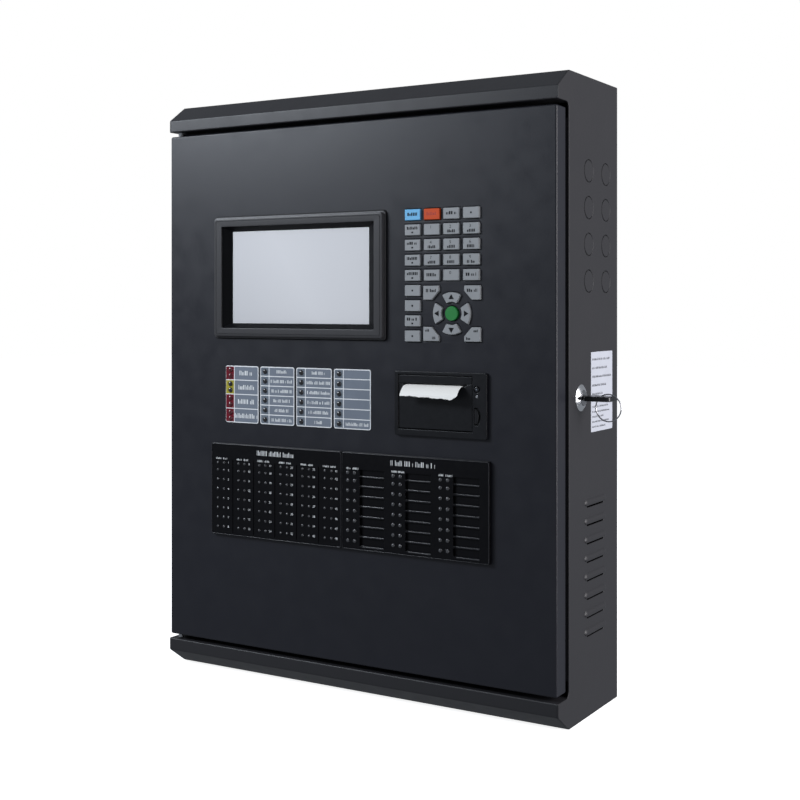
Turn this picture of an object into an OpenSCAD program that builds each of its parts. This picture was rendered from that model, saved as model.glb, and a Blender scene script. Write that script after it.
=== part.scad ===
// Wall-mounted fire alarm control panel: steel cabinet, hinged door with display,
// keypad, indicators and printer, and the boards, supply and batteries it holds inside.
// Millimetres. X to the right, Y back into the wall, Z up. The origin is the centre of
// the four wall bolts, on the plane of the wall.

/* [Cabinet] */
// Width over the side walls
cabinet_w = 420; // [416:1:440]
// Height over the top and bottom hoods
cabinet_h = 555; // [550:1:580]
// Depth from the wall to the face of the door
cabinet_d = 130; // [129:0.5:136]
// Thickness of the steel sheet
sheet = 1.5; // [1.2:0.1:1.6]
// Height of the upright lips above and below the door
lip_h = 11.5; // [10:0.5:13]
// Front-to-back run of the hood's slope
slope_run = 22; // [18:1:26]
// Drop of the hood's slope
slope_drop = 15.5; // [12:0.5:17]
// How far the side walls stand back from the door's face
side_setback = 21.5; // [20.5:0.5:23]
// Distance between the wall bolts across the panel
bolt_span_x = 340; // [330:5:350]
// Distance between the wall bolts up the panel
bolt_span_z = 440; // [420:10:450]
// Diameter of the wall bolt holes
bolt_hole_d = 7; // [6:0.5:8]

/* [Door] */
// Gap between the door's edge and the outside of each side wall
door_side_gap = 1.5; // [1:0.5:2]
// Gap between the door and each lip
door_lip_gap = 4.5; // [4:0.5:5]
// Depth of the door's folded edges
door_return = 17.5; // [16:0.5:18]
// Diameter of the hinge pins
hinge_pin_d = 5; // [4:0.5:5]

/* [Display] */
// Width of the bezel over its foot
bezel_w = 194.5; // [190:0.5:196]
// Height of the bezel over its foot
bezel_h = 116; // [112:0.5:118]
// Width of the visible screen
screen_w = 154.5; // [150:0.5:156]
// Height of the visible screen
screen_h = 87; // [84:0.5:88]
// How far the bezel stands proud of the door
bezel_proud = 5; // [4:0.5:6]

/* [Keypad] */
// Width of a key
key_w = 16.3; // [15:0.1:16.5]
// Height of a key in the rows
key_h = 10.3; // [9.5:0.1:10.5]
// Distance between columns
key_pitch_x = 19.45; // [19.3:0.05:19.6]
// Distance between rows
key_pitch_z = 13.35; // [13.3:0.05:13.5]
// How far the keys stand proud of the door
key_proud = 2; // [1.5:0.1:2.5]
// How far a key travels when pressed
key_travel = 1.2; // [0.8:0.1:1.3]

/* [Indicators] */
// How far the two indicator panels stand proud
panel_proud = 3.5; // [3:0.5:4]
// Diameter of an indicator in the two panels
small_led_d = 2; // [1.6:0.1:2.2]
// Diameter of a status indicator
status_led_d = 3; // [2.8:0.1:3.2]

/* [Printer] */
// Width of the printer's frame
printer_w = 92; // [91:0.5:93]
// Height of the printer's frame
printer_h = 57; // [56:0.5:58]
// Width of the paper
paper_w = 57; // [56:0.5:57.5]
// Radius of the paper roll
roll_r = 16.5; // [12:0.5:17]

/* [Lock] */
// Distance of the lock's axis from the wall
lock_depth = 83; // [81:0.5:85]
// Diameter of the lock's chrome face
lock_face_d = 23; // [21:0.5:24]

/* [Hidden] */
front = -cabinet_d;
skin_back = front + sheet;
half_w = cabinet_w / 2;
half_h = cabinet_h / 2;
side_front = front + side_setback;
slope_back = front + slope_run;
lip_out = half_h - slope_drop;
lip_in = lip_out - lip_h;
door_half_w = half_w - door_side_gap;
door_half_h = lip_in - door_lip_gap;
frame_in = 14;
play = 0.05;

hinge_x = -door_half_w + sheet + 4;
hinge_y = front + 9;

board_front = front + 11;
board_t = 1.6;
dome_h = 0.8;

display_x = -54.2;
display_z = 106;
opening_w = 173;
opening_h = 97;
screen_y = front + 2;
foot_margin = 1.6;

key_x1 = 70.9;
key_z1 = 159;
nav_x = 110;
nav_z = 72.2;
nav_out_r = 18.7;
nav_in_r = 9.7;
nav_half_angle = 31;
ok_r = 6.6;
corner_key_h = 13;
corner_dx = 20.3;
corner_dz = 18;
corner_cut_x = 7.5;
corner_cut_z = 8;
hole_gap = 0.35;
flange = 1;

status_x0 = [-138.7, -97.3, -55.4, -13.2];
status_w = [39.2, 39.5, 39.7, 39.9];
status_top = 21.3;
status_bottom = -33.2;
status_led_dx = 5.6;
overlay_t = 0.5;

panel_mid = -3;
panel_w = 151;
panel_top = -53.5;
panel_bottom = -141.5;
zone_pitch = 24.95;
group_pitch = 48;
led_pair = 7.3;
led_row_z = [for (i = [0:7]) i == 0 ? -72 : -79 - (i - 1) * 9.07];
zone_led_x = [for (c = [0:5]) -145.9 + c * zone_pitch];
group_led_x = [for (c = [0:2]) 4 + c * group_pitch];

printer_x = 99;
printer_z = -7;
printer_proud = 3;
cover_x = 94;
cover_w = 74;
cover_bottom = printer_z - 22.6;
slot_z = 9.6;
cover_t = 2.5;
cover_y = front - 2.2;
cover_hinge_y = cover_y + cover_t / 2;
cover_hinge_z = cover_bottom + cover_t / 2 + 0.3;
bay_back = front + 46;
platen_r = 4.5;
platen_y = front + 6.5;
platen_z = slot_z - platen_r - play;
paper_x = 93;
paper_t = 0.2;
roll_y = front + 25;
roll_z = -12;
curl_r = 13;
feed_x = 135.4;
feed_z = 7.3;
latch_x = 133.3;
latch_z = -16;
latch_h = 14;

lock_y = -lock_depth;
barrel_r = 9.5;
plug_r = 6.5;
cam_x = half_w - 23.5;
cam_l = 20;
keeper_x = half_w - 28;
key_end = half_w + 29.8;
ring_r = 12.8;
ring_wire = 0.7;
ring_x = key_end - 4.8;
ring_z = -8.85;

chassis_y = -12;
battery_h = 94;
battery_w = 151;

grid_keys = [for (r = [1:5], c = [1:4]) [str("key_r", r, "_c", c), "bar",
    key_x1 + (c - 1) * key_pitch_x, key_z1 - (r - 1) * key_pitch_z, 0]];
side_keys = [for (r = [6:9]) [str("key_r", r, "_c1"), "bar", key_x1, key_z1 - (r - 1) * key_pitch_z, 0]];
corner_keys = [for (r = [6, 9], c = [2, 4]) [str("key_r", r, "_c", c), "corner",
    nav_x + (c == 2 ? -1 : 1) * corner_dx, nav_z + (r == 6 ? 1 : -1) * corner_dz, 0]];
nav_names = ["key_up", "key_left", "key_down", "key_right"];
nav_keys = [for (i = [0:3]) [nav_names[i], "sector", nav_x, nav_z, i * 90]];
ok_keys = [["key_ok", "round", nav_x, nav_z, 0]];
KEYS = concat(grid_keys, side_keys, corner_keys, nav_keys, ok_keys);

$fn = 48;

// A flat shape drawn in X and Z, given thickness from y_front back to y_back.
module slab(y_front, y_back) {
    translate([0, y_back, 0]) rotate([90, 0, 0]) linear_extrude(y_back - y_front) children();
}

// A profile drawn in Y and Z, drawn out along X from x0.
module along_x(x0, length) {
    translate([x0, 0, 0]) rotate([90, 0, 90]) linear_extrude(length) children();
}

// A round bar from y_front back to y_back.
module rod_y(x, z, r, y_front, y_back) {
    translate([x, y_back, z]) rotate([90, 0, 0]) cylinder(h = y_back - y_front, r = r);
}

// A round bar along X from x0.
module rod_x(x0, y, z, r, length) {
    translate([x0, y, z]) rotate([0, 90, 0]) cylinder(h = length, r = r);
}

// A block from one corner to the opposite one.
module block(low, high) {
    translate(low) cube(high - low);
}

// A rectangle with round corners, centred.
module round_rect(w, h, r) {
    square([w - 2 * r, h], center = true);
    square([w, h - 2 * r], center = true);
    for (x = [-1, 1], z = [-1, 1]) translate([x * (w / 2 - r), z * (h / 2 - r)]) circle(r);
}

// ---- Cabinet ----

// Outline of a side wall: full depth at the lips, cut back beside the door.
module side_outline() {
    difference() {
        polygon([[0, -half_h], [0, half_h], [slope_back, half_h], [front, lip_out],
            [front, -lip_out], [slope_back, -half_h]]);
        translate([front, 0]) round_rect(2 * side_setback, 2 * lip_in, 5);
    }
}

// Folded section of the top hood: roof, slope, lip, and the flange that frames the door.
module hood_section() {
    lean = atan2(slope_drop, slope_run);
    roof_shift = sheet * tan(lean / 2);
    lip_shift = sheet * tan((90 - lean) / 2);
    polygon([[0, half_h], [slope_back, half_h], [front, lip_out], [front, lip_in],
        [side_front, lip_in], [side_front, lip_in - frame_in], [side_front + sheet, lip_in - frame_in],
        [side_front + sheet, lip_in + sheet], [front + sheet, lip_in + sheet],
        [front + sheet, lip_out - lip_shift], [slope_back + roof_shift, half_h - sheet],
        [0, half_h - sheet]]);
}

louvre_z = [for (i = [0:7]) -92 - i * 16];
knockout_y = [-66, -27.4];
knockout_z = [for (i = [0:3]) 196 - i * 31.9];

// A pressed louvre on the right wall: a shallow bulge that is open along its lower edge.
module louvre_bulge(z) {
    length = 40;
    difference() {
        intersection() {
            block([half_w - sheet, -75, z - 6], [half_w + 1.6, -28, z + 6]);
            translate([half_w - 3.4, -51.8 + length / 2, z]) rotate([90, 0, 0]) {
                cylinder(h = length, r = 5);
                sphere(5);
                translate([0, 0, length]) sphere(5);
            }
        }
        block([half_w - sheet - 1, -80, z - 6], [half_w + 3, -20, z - 2]);
    }
}

module side_details() {
    difference() {
        children();
        for (z = louvre_z) block([half_w - sheet - 1, -70, z - 4], [half_w + 3, -33, z - 1]);
        for (y = knockout_y, z = knockout_z) difference() {
            rod_x(half_w - 0.6, y, z, 10.15, 2);
            rod_x(half_w - 0.7, y, z, 9.45, 3);
        }
    }
}

module side_wall() {
    side_details() {
        along_x(half_w - sheet, sheet) side_outline();
        for (z = louvre_z) louvre_bulge(z);
    }
    block([half_w - frame_in, side_front, -lip_in], [half_w - sheet, side_front + sheet, lip_in]);
}

module cabinet_shell() color("#3b3b3e") {
    difference() {
        union() {
            slab(-sheet, 0) square([cabinet_w, cabinet_h], center = true);
            for (s = [0, 1]) mirror([0, 0, s]) along_x(-half_w, cabinet_w) hood_section();
            for (s = [0, 1]) mirror([s, 0, 0]) side_wall();
            for (x = [-1, 1], z = [-155, 205]) rod_y(x * 135, z, 4, chassis_y + sheet, -sheet);
        }
        for (x = [-1, 1], z = [-1, 1])
            rod_y(x * bolt_span_x / 2, z * bolt_span_z / 2, bolt_hole_d / 2, -sheet - 1, 1);
        for (z = [-1, 1]) translate([hinge_x, hinge_y, z * (lip_in + sheet / 2)])
            cylinder(h = sheet + 2, r = hinge_pin_d / 2 + play, center = true);
        rod_x(half_w - sheet - 1, lock_y, 0, barrel_r + play, sheet + 2);
    }
}

module chassis_plate() color("#b9bcbf") {
    difference() {
        block([-158, chassis_y, -168], [158, chassis_y + sheet, 218]);
        for (z = [-140, 190]) block([-20, chassis_y - 1, z - 4], [20, 0, z + 4]);
    }
    block([-158, -71.5, -169.5], [158, chassis_y + sheet, -168]);
    block([-158, -71.5, -186], [158, -70, -168]);
    for (x = [-145, -20, 50], z = [12, 198]) rod_y(x, z, 3, chassis_y - 8, chassis_y);
}

module main_board() color("#1f6b45") {
    y = chassis_y - 8;
    block([-150, y - board_t, 5], [57, y, 205]);
    block([-145, y - 13, 8], [-13, y - board_t, 18]);
    block([0, y - 13, 8], [52, y - board_t, 18]);
    for (x = [-145:31:40]) block([x, y - 13, 188], [x + 24, y - board_t, 198]);
    for (x = [-138:26:-60]) block([x, y - 17, 150], [x + 19, y - board_t, 165]);
    block([-35, y - 4.5, 90], [-5, y - board_t, 120]);
    block([-90, y - 4, 70], [-66, y - board_t, 94]);
    for (x = [15, 35], z = [60, 90]) rod_y(x, z, 8, y - 21, y - board_t);
}

module power_supply() color("#c4c6c8") difference() {
    block([66, -50, 20], [152, chassis_y, 200]);
    for (z = [40:14:180], x = [78:16:140]) rod_y(x, z, 4, -51, -48.5);
    block([67.5, -48.5, 21.5], [150.5, chassis_y - 1.5, 198.5]);
}

module batteries() color("#2b2b2d") for (x = [-battery_w - 1.5, 1.5]) {
    base = -half_h + sheet;
    block([x, -67, base], [x + battery_w, -2, base + battery_h]);
    for (t = [x + 12, x + battery_w - 22])
        block([t, -50, base + battery_h], [t + 10, -44, base + battery_h + 5]);
}

module hinge_pins() color("#c9ccd0") for (s = [0, 1]) mirror([0, 0, s]) {
    translate([hinge_x, hinge_y, door_half_h - 12])
        cylinder(h = lip_in + sheet - door_half_h + 12, r = hinge_pin_d / 2);
    translate([hinge_x, hinge_y, lip_in + sheet]) cylinder(h = 2, r = hinge_pin_d / 2 + 2);
}

// ---- Lock ----

module lock_barrel() color("#d8dadd") {
    bore = plug_r + play;
    face_r = lock_face_d / 2;
    translate([half_w, lock_y, 0]) rotate([0, 90, 0]) {
        rotate_extrude() {
            translate([bore, -19]) square([barrel_r - bore, 19.5]);
            intersection() {
                translate([0, -16.5]) circle(20.1);
                translate([bore, 0]) square([face_r - bore, 4]);
            }
        }
        translate([0, 0, -sheet - 4]) linear_extrude(4) difference() {
            circle(13, $fn = 6);
            circle(barrel_r);
        }
    }
}

module lock_cam() color("#b4b7bb") {
    difference() {
        rod_x(cam_x, lock_y, 0, plug_r, half_w + 3 - cam_x);
        block([half_w - 14, lock_y - 4.2, -1.2], [half_w + 4, lock_y + 4.2, 1.2]);
    }
    along_x(cam_x - 3, 3) {
        translate([lock_y, 0]) circle(7);
        translate([lock_y - cam_l + 4, -4.5]) square([cam_l - 4, 9]);
        translate([lock_y - cam_l + 4.5, 0]) circle(4.5);
    }
    translate([cam_x - 5.5, lock_y, 0]) rotate([0, 90, 0]) cylinder(h = 2.5, r = 5.8, $fn = 6);
}

module key() color("#141416") {
    block([half_w - 13.5, lock_y - 4, -1], [half_w + 5, lock_y + 4, 1]);
    translate([0, lock_y, -2]) linear_extrude(4) difference() {
        union() {
            translate([(half_w + 5 + key_end) / 2, 0]) round_rect(key_end - half_w - 5, 20, 4);
            translate([half_w + 3.2, -5]) square([6, 10]);
        }
        translate([key_end - 13.3, 0]) circle(3.8);
    }
}

module key_ring() color("#c8cace") {
    translate([ring_x, lock_y, ring_z]) rotate([90, 0, 0])
        rotate_extrude() translate([ring_r, 0]) circle(ring_wire);
}

// ---- Keys ----

// Face of a key, grown all round by g.
module key_face(kind, g) {
    if (kind == "bar") round_rect(key_w + 2 * g, key_h + 2 * g, 1);
    if (kind == "corner") intersection() {
        round_rect(key_w + 2 * g, corner_key_h + 2 * g, 1);
        translate([key_w / 2 - corner_cut_x, -corner_key_h / 2])
            rotate(atan2(corner_cut_z, corner_cut_x)) translate([-50, -g]) square([100, 60]);
    }
    if (kind == "sector") difference() {
        intersection() {
            circle(nav_out_r + g);
            translate([0, -g / sin(nav_half_angle)])
                polygon([[0, 0], [-40 * tan(nav_half_angle), 40], [40 * tan(nav_half_angle), 40]]);
        }
        circle(nav_in_r - g);
    }
    if (kind == "round") circle(ok_r + g);
}

// Moves a key's shape to its place; corner keys turn their cut towards the middle of the pad.
module at_key(k) {
    flip_x = k[1] == "corner" && k[2] > nav_x ? 1 : 0;
    flip_z = k[1] == "corner" && k[3] < nav_z ? 1 : 0;
    translate([k[2], 0, k[3]]) rotate([0, -k[4], 0])
        mirror([flip_x, 0, 0]) mirror([0, 0, flip_z]) children();
}

function stem_z(k) = k[1] == "sector" ? (nav_out_r + nav_in_r) / 2 : 0;

function key_colour(k) = k[0] == "key_r1_c1" ? "#73beeb" : k[0] == "key_r1_c2" ? "#e15f2d"
    : k[1] == "round" ? "#2d8c3c" : "#a8acb0";

module keypad_key(k) color(key_colour(k)) at_key(k) {
    slab(front - key_proud, skin_back + play) key_face(k[1], 0);
    slab(skin_back + play, skin_back + 1) key_face(k[1], flange);
    rod_y(0, stem_z(k), 2, skin_back + 1, board_front - dome_h - key_travel - play);
}

// ---- Door ----

stud_places = [for (x = [-153, 50, 145], z = [44.5, 165.5]) [x, z],
    for (x = [-143.5, 31.5], z = [-34.5, 23.5]) [x, z]];

module door_section(inset) {
    r = 2.5 - inset;
    back = front + door_return;
    translate([-door_half_w + inset, front + inset + r])
        square([2 * (door_half_w - inset), back - front - r + inset]);
    translate([-door_half_w + inset + r, front + inset]) square([2 * (door_half_w - inset - r), r + 1]);
    for (s = [-1, 1]) translate([s * (door_half_w - inset - r), front + inset + r]) circle(r);
}

module door_tray() {
    difference() {
        translate([0, 0, -door_half_h]) linear_extrude(2 * door_half_h) door_section(0);
        translate([0, 0, -door_half_h + sheet]) linear_extrude(2 * (door_half_h - sheet)) door_section(sheet);
        block([-half_w, front + door_return, -half_h], [half_w, 0, half_h]);
    }
}

module keeper() {
    block([keeper_x, skin_back - 0.5, 10], [keeper_x + 1.5, lock_y + 10, 24]);
    block([keeper_x, lock_y + 8.5, 10], [keeper_x + 9, lock_y + 10, 24]);
    block([keeper_x - 12, skin_back - 0.5, 8], [keeper_x + 1.5, skin_back + 1.5, 26]);
}

module window(x, z, w, h, r) {
    translate([x, 0, z]) slab(front - 5, skin_back + 1) round_rect(w, h, r);
}

module status_holes(r) {
    for (g = [0:3]) for (i = [0:(g == 0 ? 7 : 5)])
        rod_y(status_x0[g] + status_led_dx, status_led_z(g, i), r, front - 3, skin_back + 1);
}

function status_led_z(g, i) = g == 0
    ? status_cell_z(4, floor(i / 2)) + (i % 2 == 0 ? 3 : -3)
    : status_cell_z(6, i);
function status_cell_z(rows, i) = status_top - (i + 0.5) * (status_top - status_bottom) / rows;

module door_panel() color("#35383f") {
    difference() {
        union() {
            door_tray();
            for (s = [0, 1]) mirror([0, 0, s]) translate([hinge_x, hinge_y, door_half_h - 14])
                cylinder(h = 13.5, r = 4);
            for (p = stud_places) rod_y(p[0], p[1], 2.5, skin_back - 0.5, board_front);
            keeper();
        }
        for (s = [-1, 1]) translate([hinge_x, hinge_y, s * (door_half_h - 6)])
            cylinder(h = 26, r = hinge_pin_d / 2 + play, center = true);
        window(display_x, display_z, 183, 107, 2);
        window(printer_x, printer_z, printer_w - 4, printer_h - 4, 2);
        for (s = [-1, 1]) window(panel_mid + s * panel_w / 2, (panel_top + panel_bottom) / 2, 144, 81, 2);
        for (k = KEYS) at_key(k) slab(front - 1, skin_back + 1) key_face(k[1], hole_gap);
        status_holes(status_led_d / 2 + 0.15);
    }
}

// ---- Display ----

module display_bezel() color("#2c2c2e") translate([display_x, 0, display_z]) difference() {
    union() {
        slab(front - bezel_proud, front)
            round_rect(bezel_w - 2 * foot_margin, bezel_h - 2 * foot_margin, 2.5);
        slab(front - 2, front) round_rect(bezel_w, bezel_h, 3);
        slab(front, board_front - 1) round_rect(182, 106, 2);
    }
    slab(front - bezel_proud - 1, screen_y + 1) round_rect(opening_w, opening_h, 1);
    slab(screen_y, board_front) square([177, 101], center = true);
}

module display_screen() color("#c9cdd6") translate([display_x, 0, display_z]) {
    slab(screen_y, board_front - 1.5) square([177, 101], center = true);
    slab(screen_y - 0.2, screen_y) square([screen_w, screen_h], center = true);
    slab(board_front - 1.5, board_front) square([120, 60], center = true);
}

module front_board() color("#1d5c3c") {
    block([-158, board_front, 40], [150, board_front + board_t, 170]);
    for (k = KEYS) at_key(k) rod_y(0, stem_z(k), 2.4, board_front - dome_h, board_front);
    back = board_front + board_t;
    rod_y(-125, 140, 12, back, back + 9);
    block([-70, back, 90], [-45, back + 2, 115]);
    block([-20, back, 60], [30, back + 6, 68]);
}

// ---- Status indicators ----

module status_overlays() color("#6d7880") difference() {
    for (g = [0:3]) translate([status_x0[g] + status_w[g] / 2, 0, (status_top + status_bottom) / 2])
        slab(front - overlay_t, front) round_rect(status_w[g], status_top - status_bottom, 2);
    status_holes(status_led_d / 2 + 0.15);
}

// Every indicator in the two panels as [x, z].
panel_leds = [for (x = concat(zone_led_x, group_led_x), dx = [0, led_pair], z = led_row_z) [x + dx, z]];

module led(x, z, r, tip) {
    rod_y(x, z, r, tip + r, board_front);
    translate([x, tip + r, z]) sphere(r, $fn = 16);
}

module indicator_leds() color("#cfd6da") {
    for (g = [0:3]) for (i = [0:(g == 0 ? 7 : 5)])
        led(status_x0[g] + status_led_dx, status_led_z(g, i), status_led_d / 2, front - 1.4);
    for (p = panel_leds) led(p[0], p[1], small_led_d / 2, front - panel_proud - 0.5);
}

module indicator_boards() color("#1d5c3c") {
    block([-147, board_front, -38], [35, board_front + board_t, 27]);
    block([panel_mid - panel_w + 4, board_front, panel_bottom + 3],
        [panel_mid + panel_w - 4, board_front + board_t, panel_top - 3]);
}

// ---- Indicator panels ----

module panel_body(x) {
    z = (panel_top + panel_bottom) / 2;
    translate([x, 0, z]) {
        slab(front - panel_proud, front) round_rect(panel_w, panel_top - panel_bottom, 1.5);
        difference() {
            slab(front, front + 6) round_rect(143, 80, 2);
            slab(front - 1, front + 7) square([139, 76], center = true);
        }
        for (sx = [-1, 1], sz = [-1, 1]) rod_y(sx * 65.5, sz * 38.8, 1.4, front, board_front);
    }
}

module led_holes() {
    for (p = panel_leds) rod_y(p[0], p[1], small_led_d / 2 + 0.15, front - 6, front + 1);
}

module zone_panel() color("#1b1b1d") difference() {
    panel_body(panel_mid - panel_w / 2);
    led_holes();
    for (c = [0:4]) block([zone_led_x[c] + 17.7, front - 6, -139],
        [zone_led_x[c] + 18.3, front - panel_proud + 0.5, -69]);
}

module equipment_panel() color("#1b1b1d") difference() {
    panel_body(panel_mid + panel_w / 2);
    led_holes();
    for (x = group_led_x, i = [0:7])
        block([x + 12.5, front - 6, led_row_z[i] - (i == 0 ? 2.4 : 4)],
            [x + 38.5, front - panel_proud + 0.8, led_row_z[i] + 3.2]);
}

// ---- Printer ----

// The latch's outline: flat towards the cover, round on the other side.
module latch_face(g) {
    translate([latch_x - g, latch_z - latch_h / 2 - g]) square([1.2 + g, latch_h + 2 * g]);
    intersection() {
        translate([latch_x + 0.7 - 3.5, latch_z]) circle(9.5 + g);
        translate([latch_x, latch_z - latch_h / 2 - g]) square([12, latch_h + 2 * g]);
    }
}

module printer_frame() color("#202124") {
    bay_low = cover_bottom - 3;
    bay_high = 18.5;
    left = cover_x - cover_w / 2;
    right = cover_x + cover_w / 2;
    difference() {
        union() {
            translate([printer_x, 0, printer_z]) {
                slab(front - printer_proud, front) round_rect(printer_w, printer_h, 1.5);
                slab(front, front + 4) round_rect(printer_w - 4.5, printer_h - 4.5, 1.5);
            }
            block([left - 1.5, front, bay_low], [right + 1.5, bay_back, bay_high]);
        }
        block([left, front - 5, cover_bottom], [right, front + 2, slot_z + 1.2]);
        block([left + 0.5, front - 1, bay_low + 2], [right - 0.5, bay_back - 2, bay_high - 2]);
        slab(front - 5, front + 5) latch_face(0.15);
        slab(front - 1.2, front + 5) latch_face(1.6);
        rod_y(feed_x, feed_z, 2.5, front - 5, front + 5);
        rod_y(feed_x, feed_z, 4, front - 1.2, front + 5);
        rod_y(feed_x, feed_z - 6, 1.1, front - 5, front + 5);
    }
    for (s = [0, 1]) translate([paper_x, 0, 0]) mirror([s, 0, 0])
        rod_x(paper_w / 2 + 0.5, roll_y, roll_z, 8, cover_w / 2 - paper_w / 2 + (s == 0 ? 0.5 : -1.5));
    for (s = [0, 1]) translate([paper_x, 0, 0]) mirror([s, 0, 0])
        rod_x(paper_w / 2 - 5, roll_y, roll_z, 5.9, 6);
    block([left + 0.4, front + 16, slot_z - 3], [right - 0.4, front + 18, bay_high - 1]);
}

module printer_mechanism() color("#8d9296") {
    head_y = platen_y + platen_r + 0.4;
    block([paper_x - 29, head_y, platen_z - 6], [paper_x + 29, head_y + 1, platen_z + 4]);
    block([paper_x - 31, head_y + 1, slot_z - 2], [paper_x + 31, front + 16, slot_z + 2]);
    block([133, front + 4, -32], [141.5, front + 5.6, 18]);
    rod_y(feed_x, feed_z - 6, 1, front - printer_proud - 0.1, front + 4);
}

module printer_cover() color("#222326") {
    left = cover_x - cover_w / 2 + 0.3;
    w = cover_w - 0.6;
    difference() {
        union() {
            block([left, cover_y, cover_hinge_z], [left + w, cover_y + cover_t, slot_z - 0.3]);
            rod_x(left, cover_hinge_y, cover_hinge_z, cover_t / 2, w);
            for (x = [paper_x - 34, paper_x + 31])
                block([x, cover_y + cover_t - 0.5, platen_z - 8], [x + 3, platen_y + 3.5, platen_z + 3.2]);
        }
        rod_x(paper_x - 40, platen_y, platen_z, 2 + play, 80);
    }
}

module paper_strip() color("#f2f1ec") {
    inner = platen_r + play;
    x0 = paper_x - paper_w / 2;
    along_x(x0, paper_w) {
        difference() {
            intersection() {
                translate([platen_y, platen_z]) circle(inner + paper_t);
                translate([platen_y, platen_z]) square(20);
            }
            translate([platen_y, platen_z]) circle(inner);
        }
        translate([front - 0.5, platen_z + inner]) square([platen_y - front + 0.5, paper_t]);
        translate([front - 0.5, platen_z + inner + paper_t - curl_r]) intersection() {
            difference() {
                circle(curl_r);
                circle(curl_r - paper_t);
            }
            polygon([[0, 0], [0, 30], [-30, 30], [-30, 30 / tan(75)]]);
        }
    }
}

module platen_roller() color("#26262a") {
    rod_x(paper_x - 29, platen_y, platen_z, platen_r, 58);
    rod_x(paper_x - 35, platen_y, platen_z, 2, 70);
}

module paper_roll() color("#f5f4f0") difference() {
    rod_x(paper_x - paper_w / 2, roll_y, roll_z, roll_r, paper_w);
    rod_x(paper_x - paper_w / 2 - 1, roll_y, roll_z, 6, paper_w + 2);
}

module printer_latch() color("#18181a") {
    slab(front - printer_proud + 0.3, front + 0.5) latch_face(0);
    slab(front - 1.1, front - 0.1) latch_face(1.2);
}

module feed_button() color("#17171a") {
    rod_y(feed_x, feed_z, 2.4, front - printer_proud - 0.6, front + 1);
    rod_y(feed_x, feed_z, 3.6, front - 1.1, front - 0.1);
    rod_y(feed_x, feed_z, 1.2, front + 1, front + 3.1);
}

cabinet_shell();
chassis_plate();
main_board();
power_supply();
batteries();
hinge_pins();
lock_barrel();
lock_cam();
key();
key_ring();
door_panel();
display_bezel();
display_screen();
front_board();
status_overlays();
indicator_leds();
zone_panel();
equipment_panel();
indicator_boards();
printer_frame();
printer_mechanism();
printer_cover();
paper_strip();
platen_roller();
paper_roll();
printer_latch();
feed_button();
for (k = KEYS) keypad_key(k);
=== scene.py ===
"""Looks of the wall-mounted fire alarm control panel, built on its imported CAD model."""
import math

import bmesh
import bpy
from mathutils import Matrix, Vector


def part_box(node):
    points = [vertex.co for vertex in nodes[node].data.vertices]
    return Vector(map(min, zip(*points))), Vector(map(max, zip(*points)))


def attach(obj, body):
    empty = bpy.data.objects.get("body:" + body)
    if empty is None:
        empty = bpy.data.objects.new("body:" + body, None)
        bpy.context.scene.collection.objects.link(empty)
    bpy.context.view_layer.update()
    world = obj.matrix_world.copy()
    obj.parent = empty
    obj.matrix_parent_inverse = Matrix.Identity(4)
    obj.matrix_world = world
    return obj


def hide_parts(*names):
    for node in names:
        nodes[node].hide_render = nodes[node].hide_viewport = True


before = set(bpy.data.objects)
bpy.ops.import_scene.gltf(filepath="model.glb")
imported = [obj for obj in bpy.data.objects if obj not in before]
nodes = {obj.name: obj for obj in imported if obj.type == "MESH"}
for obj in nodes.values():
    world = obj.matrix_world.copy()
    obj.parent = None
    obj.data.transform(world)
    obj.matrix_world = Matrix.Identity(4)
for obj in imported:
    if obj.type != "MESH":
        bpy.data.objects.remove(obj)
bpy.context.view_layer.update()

MM = 0.001
SHEET = 1.5

# ---------------- places, read from the frame, in mm


def corners(node):
    low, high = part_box(node)
    return Vector(low) / MM, Vector(high) / MM


def middle(node):
    low, high = corners(node)
    return (low + high) / 2


DOOR_LOW, DOOR_HIGH = corners("door_panel")
_, SHELL_HIGH = corners("cabinet_shell")
FRONT = DOOR_LOW.y
HALF_W = DOOR_HIGH.x + SHEET
HALF_H = SHELL_HIGH.z
SLOPE_BACK = FRONT + 22
LIP_OUT = HALF_H - 15.5
LIP_IN = LIP_OUT - 11.5
SIDE_FRONT = FRONT + 21.5
LOCK = middle("lock_barrel")
BOARD = FRONT + 11
DOOR_RETURN = 17.5


def basis(origin, u, v, w):
    """A plane to draw in, in mm: u and v lie in it, and w is the height above it."""
    turn = Matrix((u, v, w)).transposed().to_4x4()
    return SPACE @ Matrix.Translation(origin) @ turn


def facing(depth):
    """The upright plane at this depth, seen from the front."""
    return basis((0, depth, 0), X, Z, -Y)


def at(plane, u, v, w=0.0):
    """The same plane with its origin moved."""
    return plane @ Matrix.Translation((u, v, w))


SPACE = Matrix.Scale(MM, 4)
X, Y, Z = Vector((1, 0, 0)), Vector((0, 1, 0)), Vector((0, 0, 1))
FACE = facing(FRONT)
RIGHT = basis((HALF_W, 0, 0), Y, Z, X)
LEFT = basis((-HALF_W, 0, 0), Y, Z, -X)
BACK = basis((0, 0, 0), X, Z, Y)
ACROSS = basis((0, 0, 0), Y, Z, X)

# ---------------- camera, light and floor

CAMERA_PLACE = (0.65305, -1.11677, 0.07975)
CAMERA_TURN = 31.13
CAMERA_LENS = 58.5
SENSOR_WIDTH = 36
LENS_SHIFT = -0.119
FILL_TINT, FILL_STRENGTH = (0.86, 0.92, 1), 0.27


def make_camera():
    data = bpy.data.cameras.new("camera")
    data.lens = CAMERA_LENS
    data.sensor_width = SENSOR_WIDTH
    data.shift_y = LENS_SHIFT
    camera = bpy.data.objects.new("camera", data)
    camera.location = CAMERA_PLACE
    camera.rotation_euler = (math.radians(90), 0, math.radians(CAMERA_TURN))
    bpy.context.scene.collection.objects.link(camera)
    bpy.context.scene.camera = camera


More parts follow.
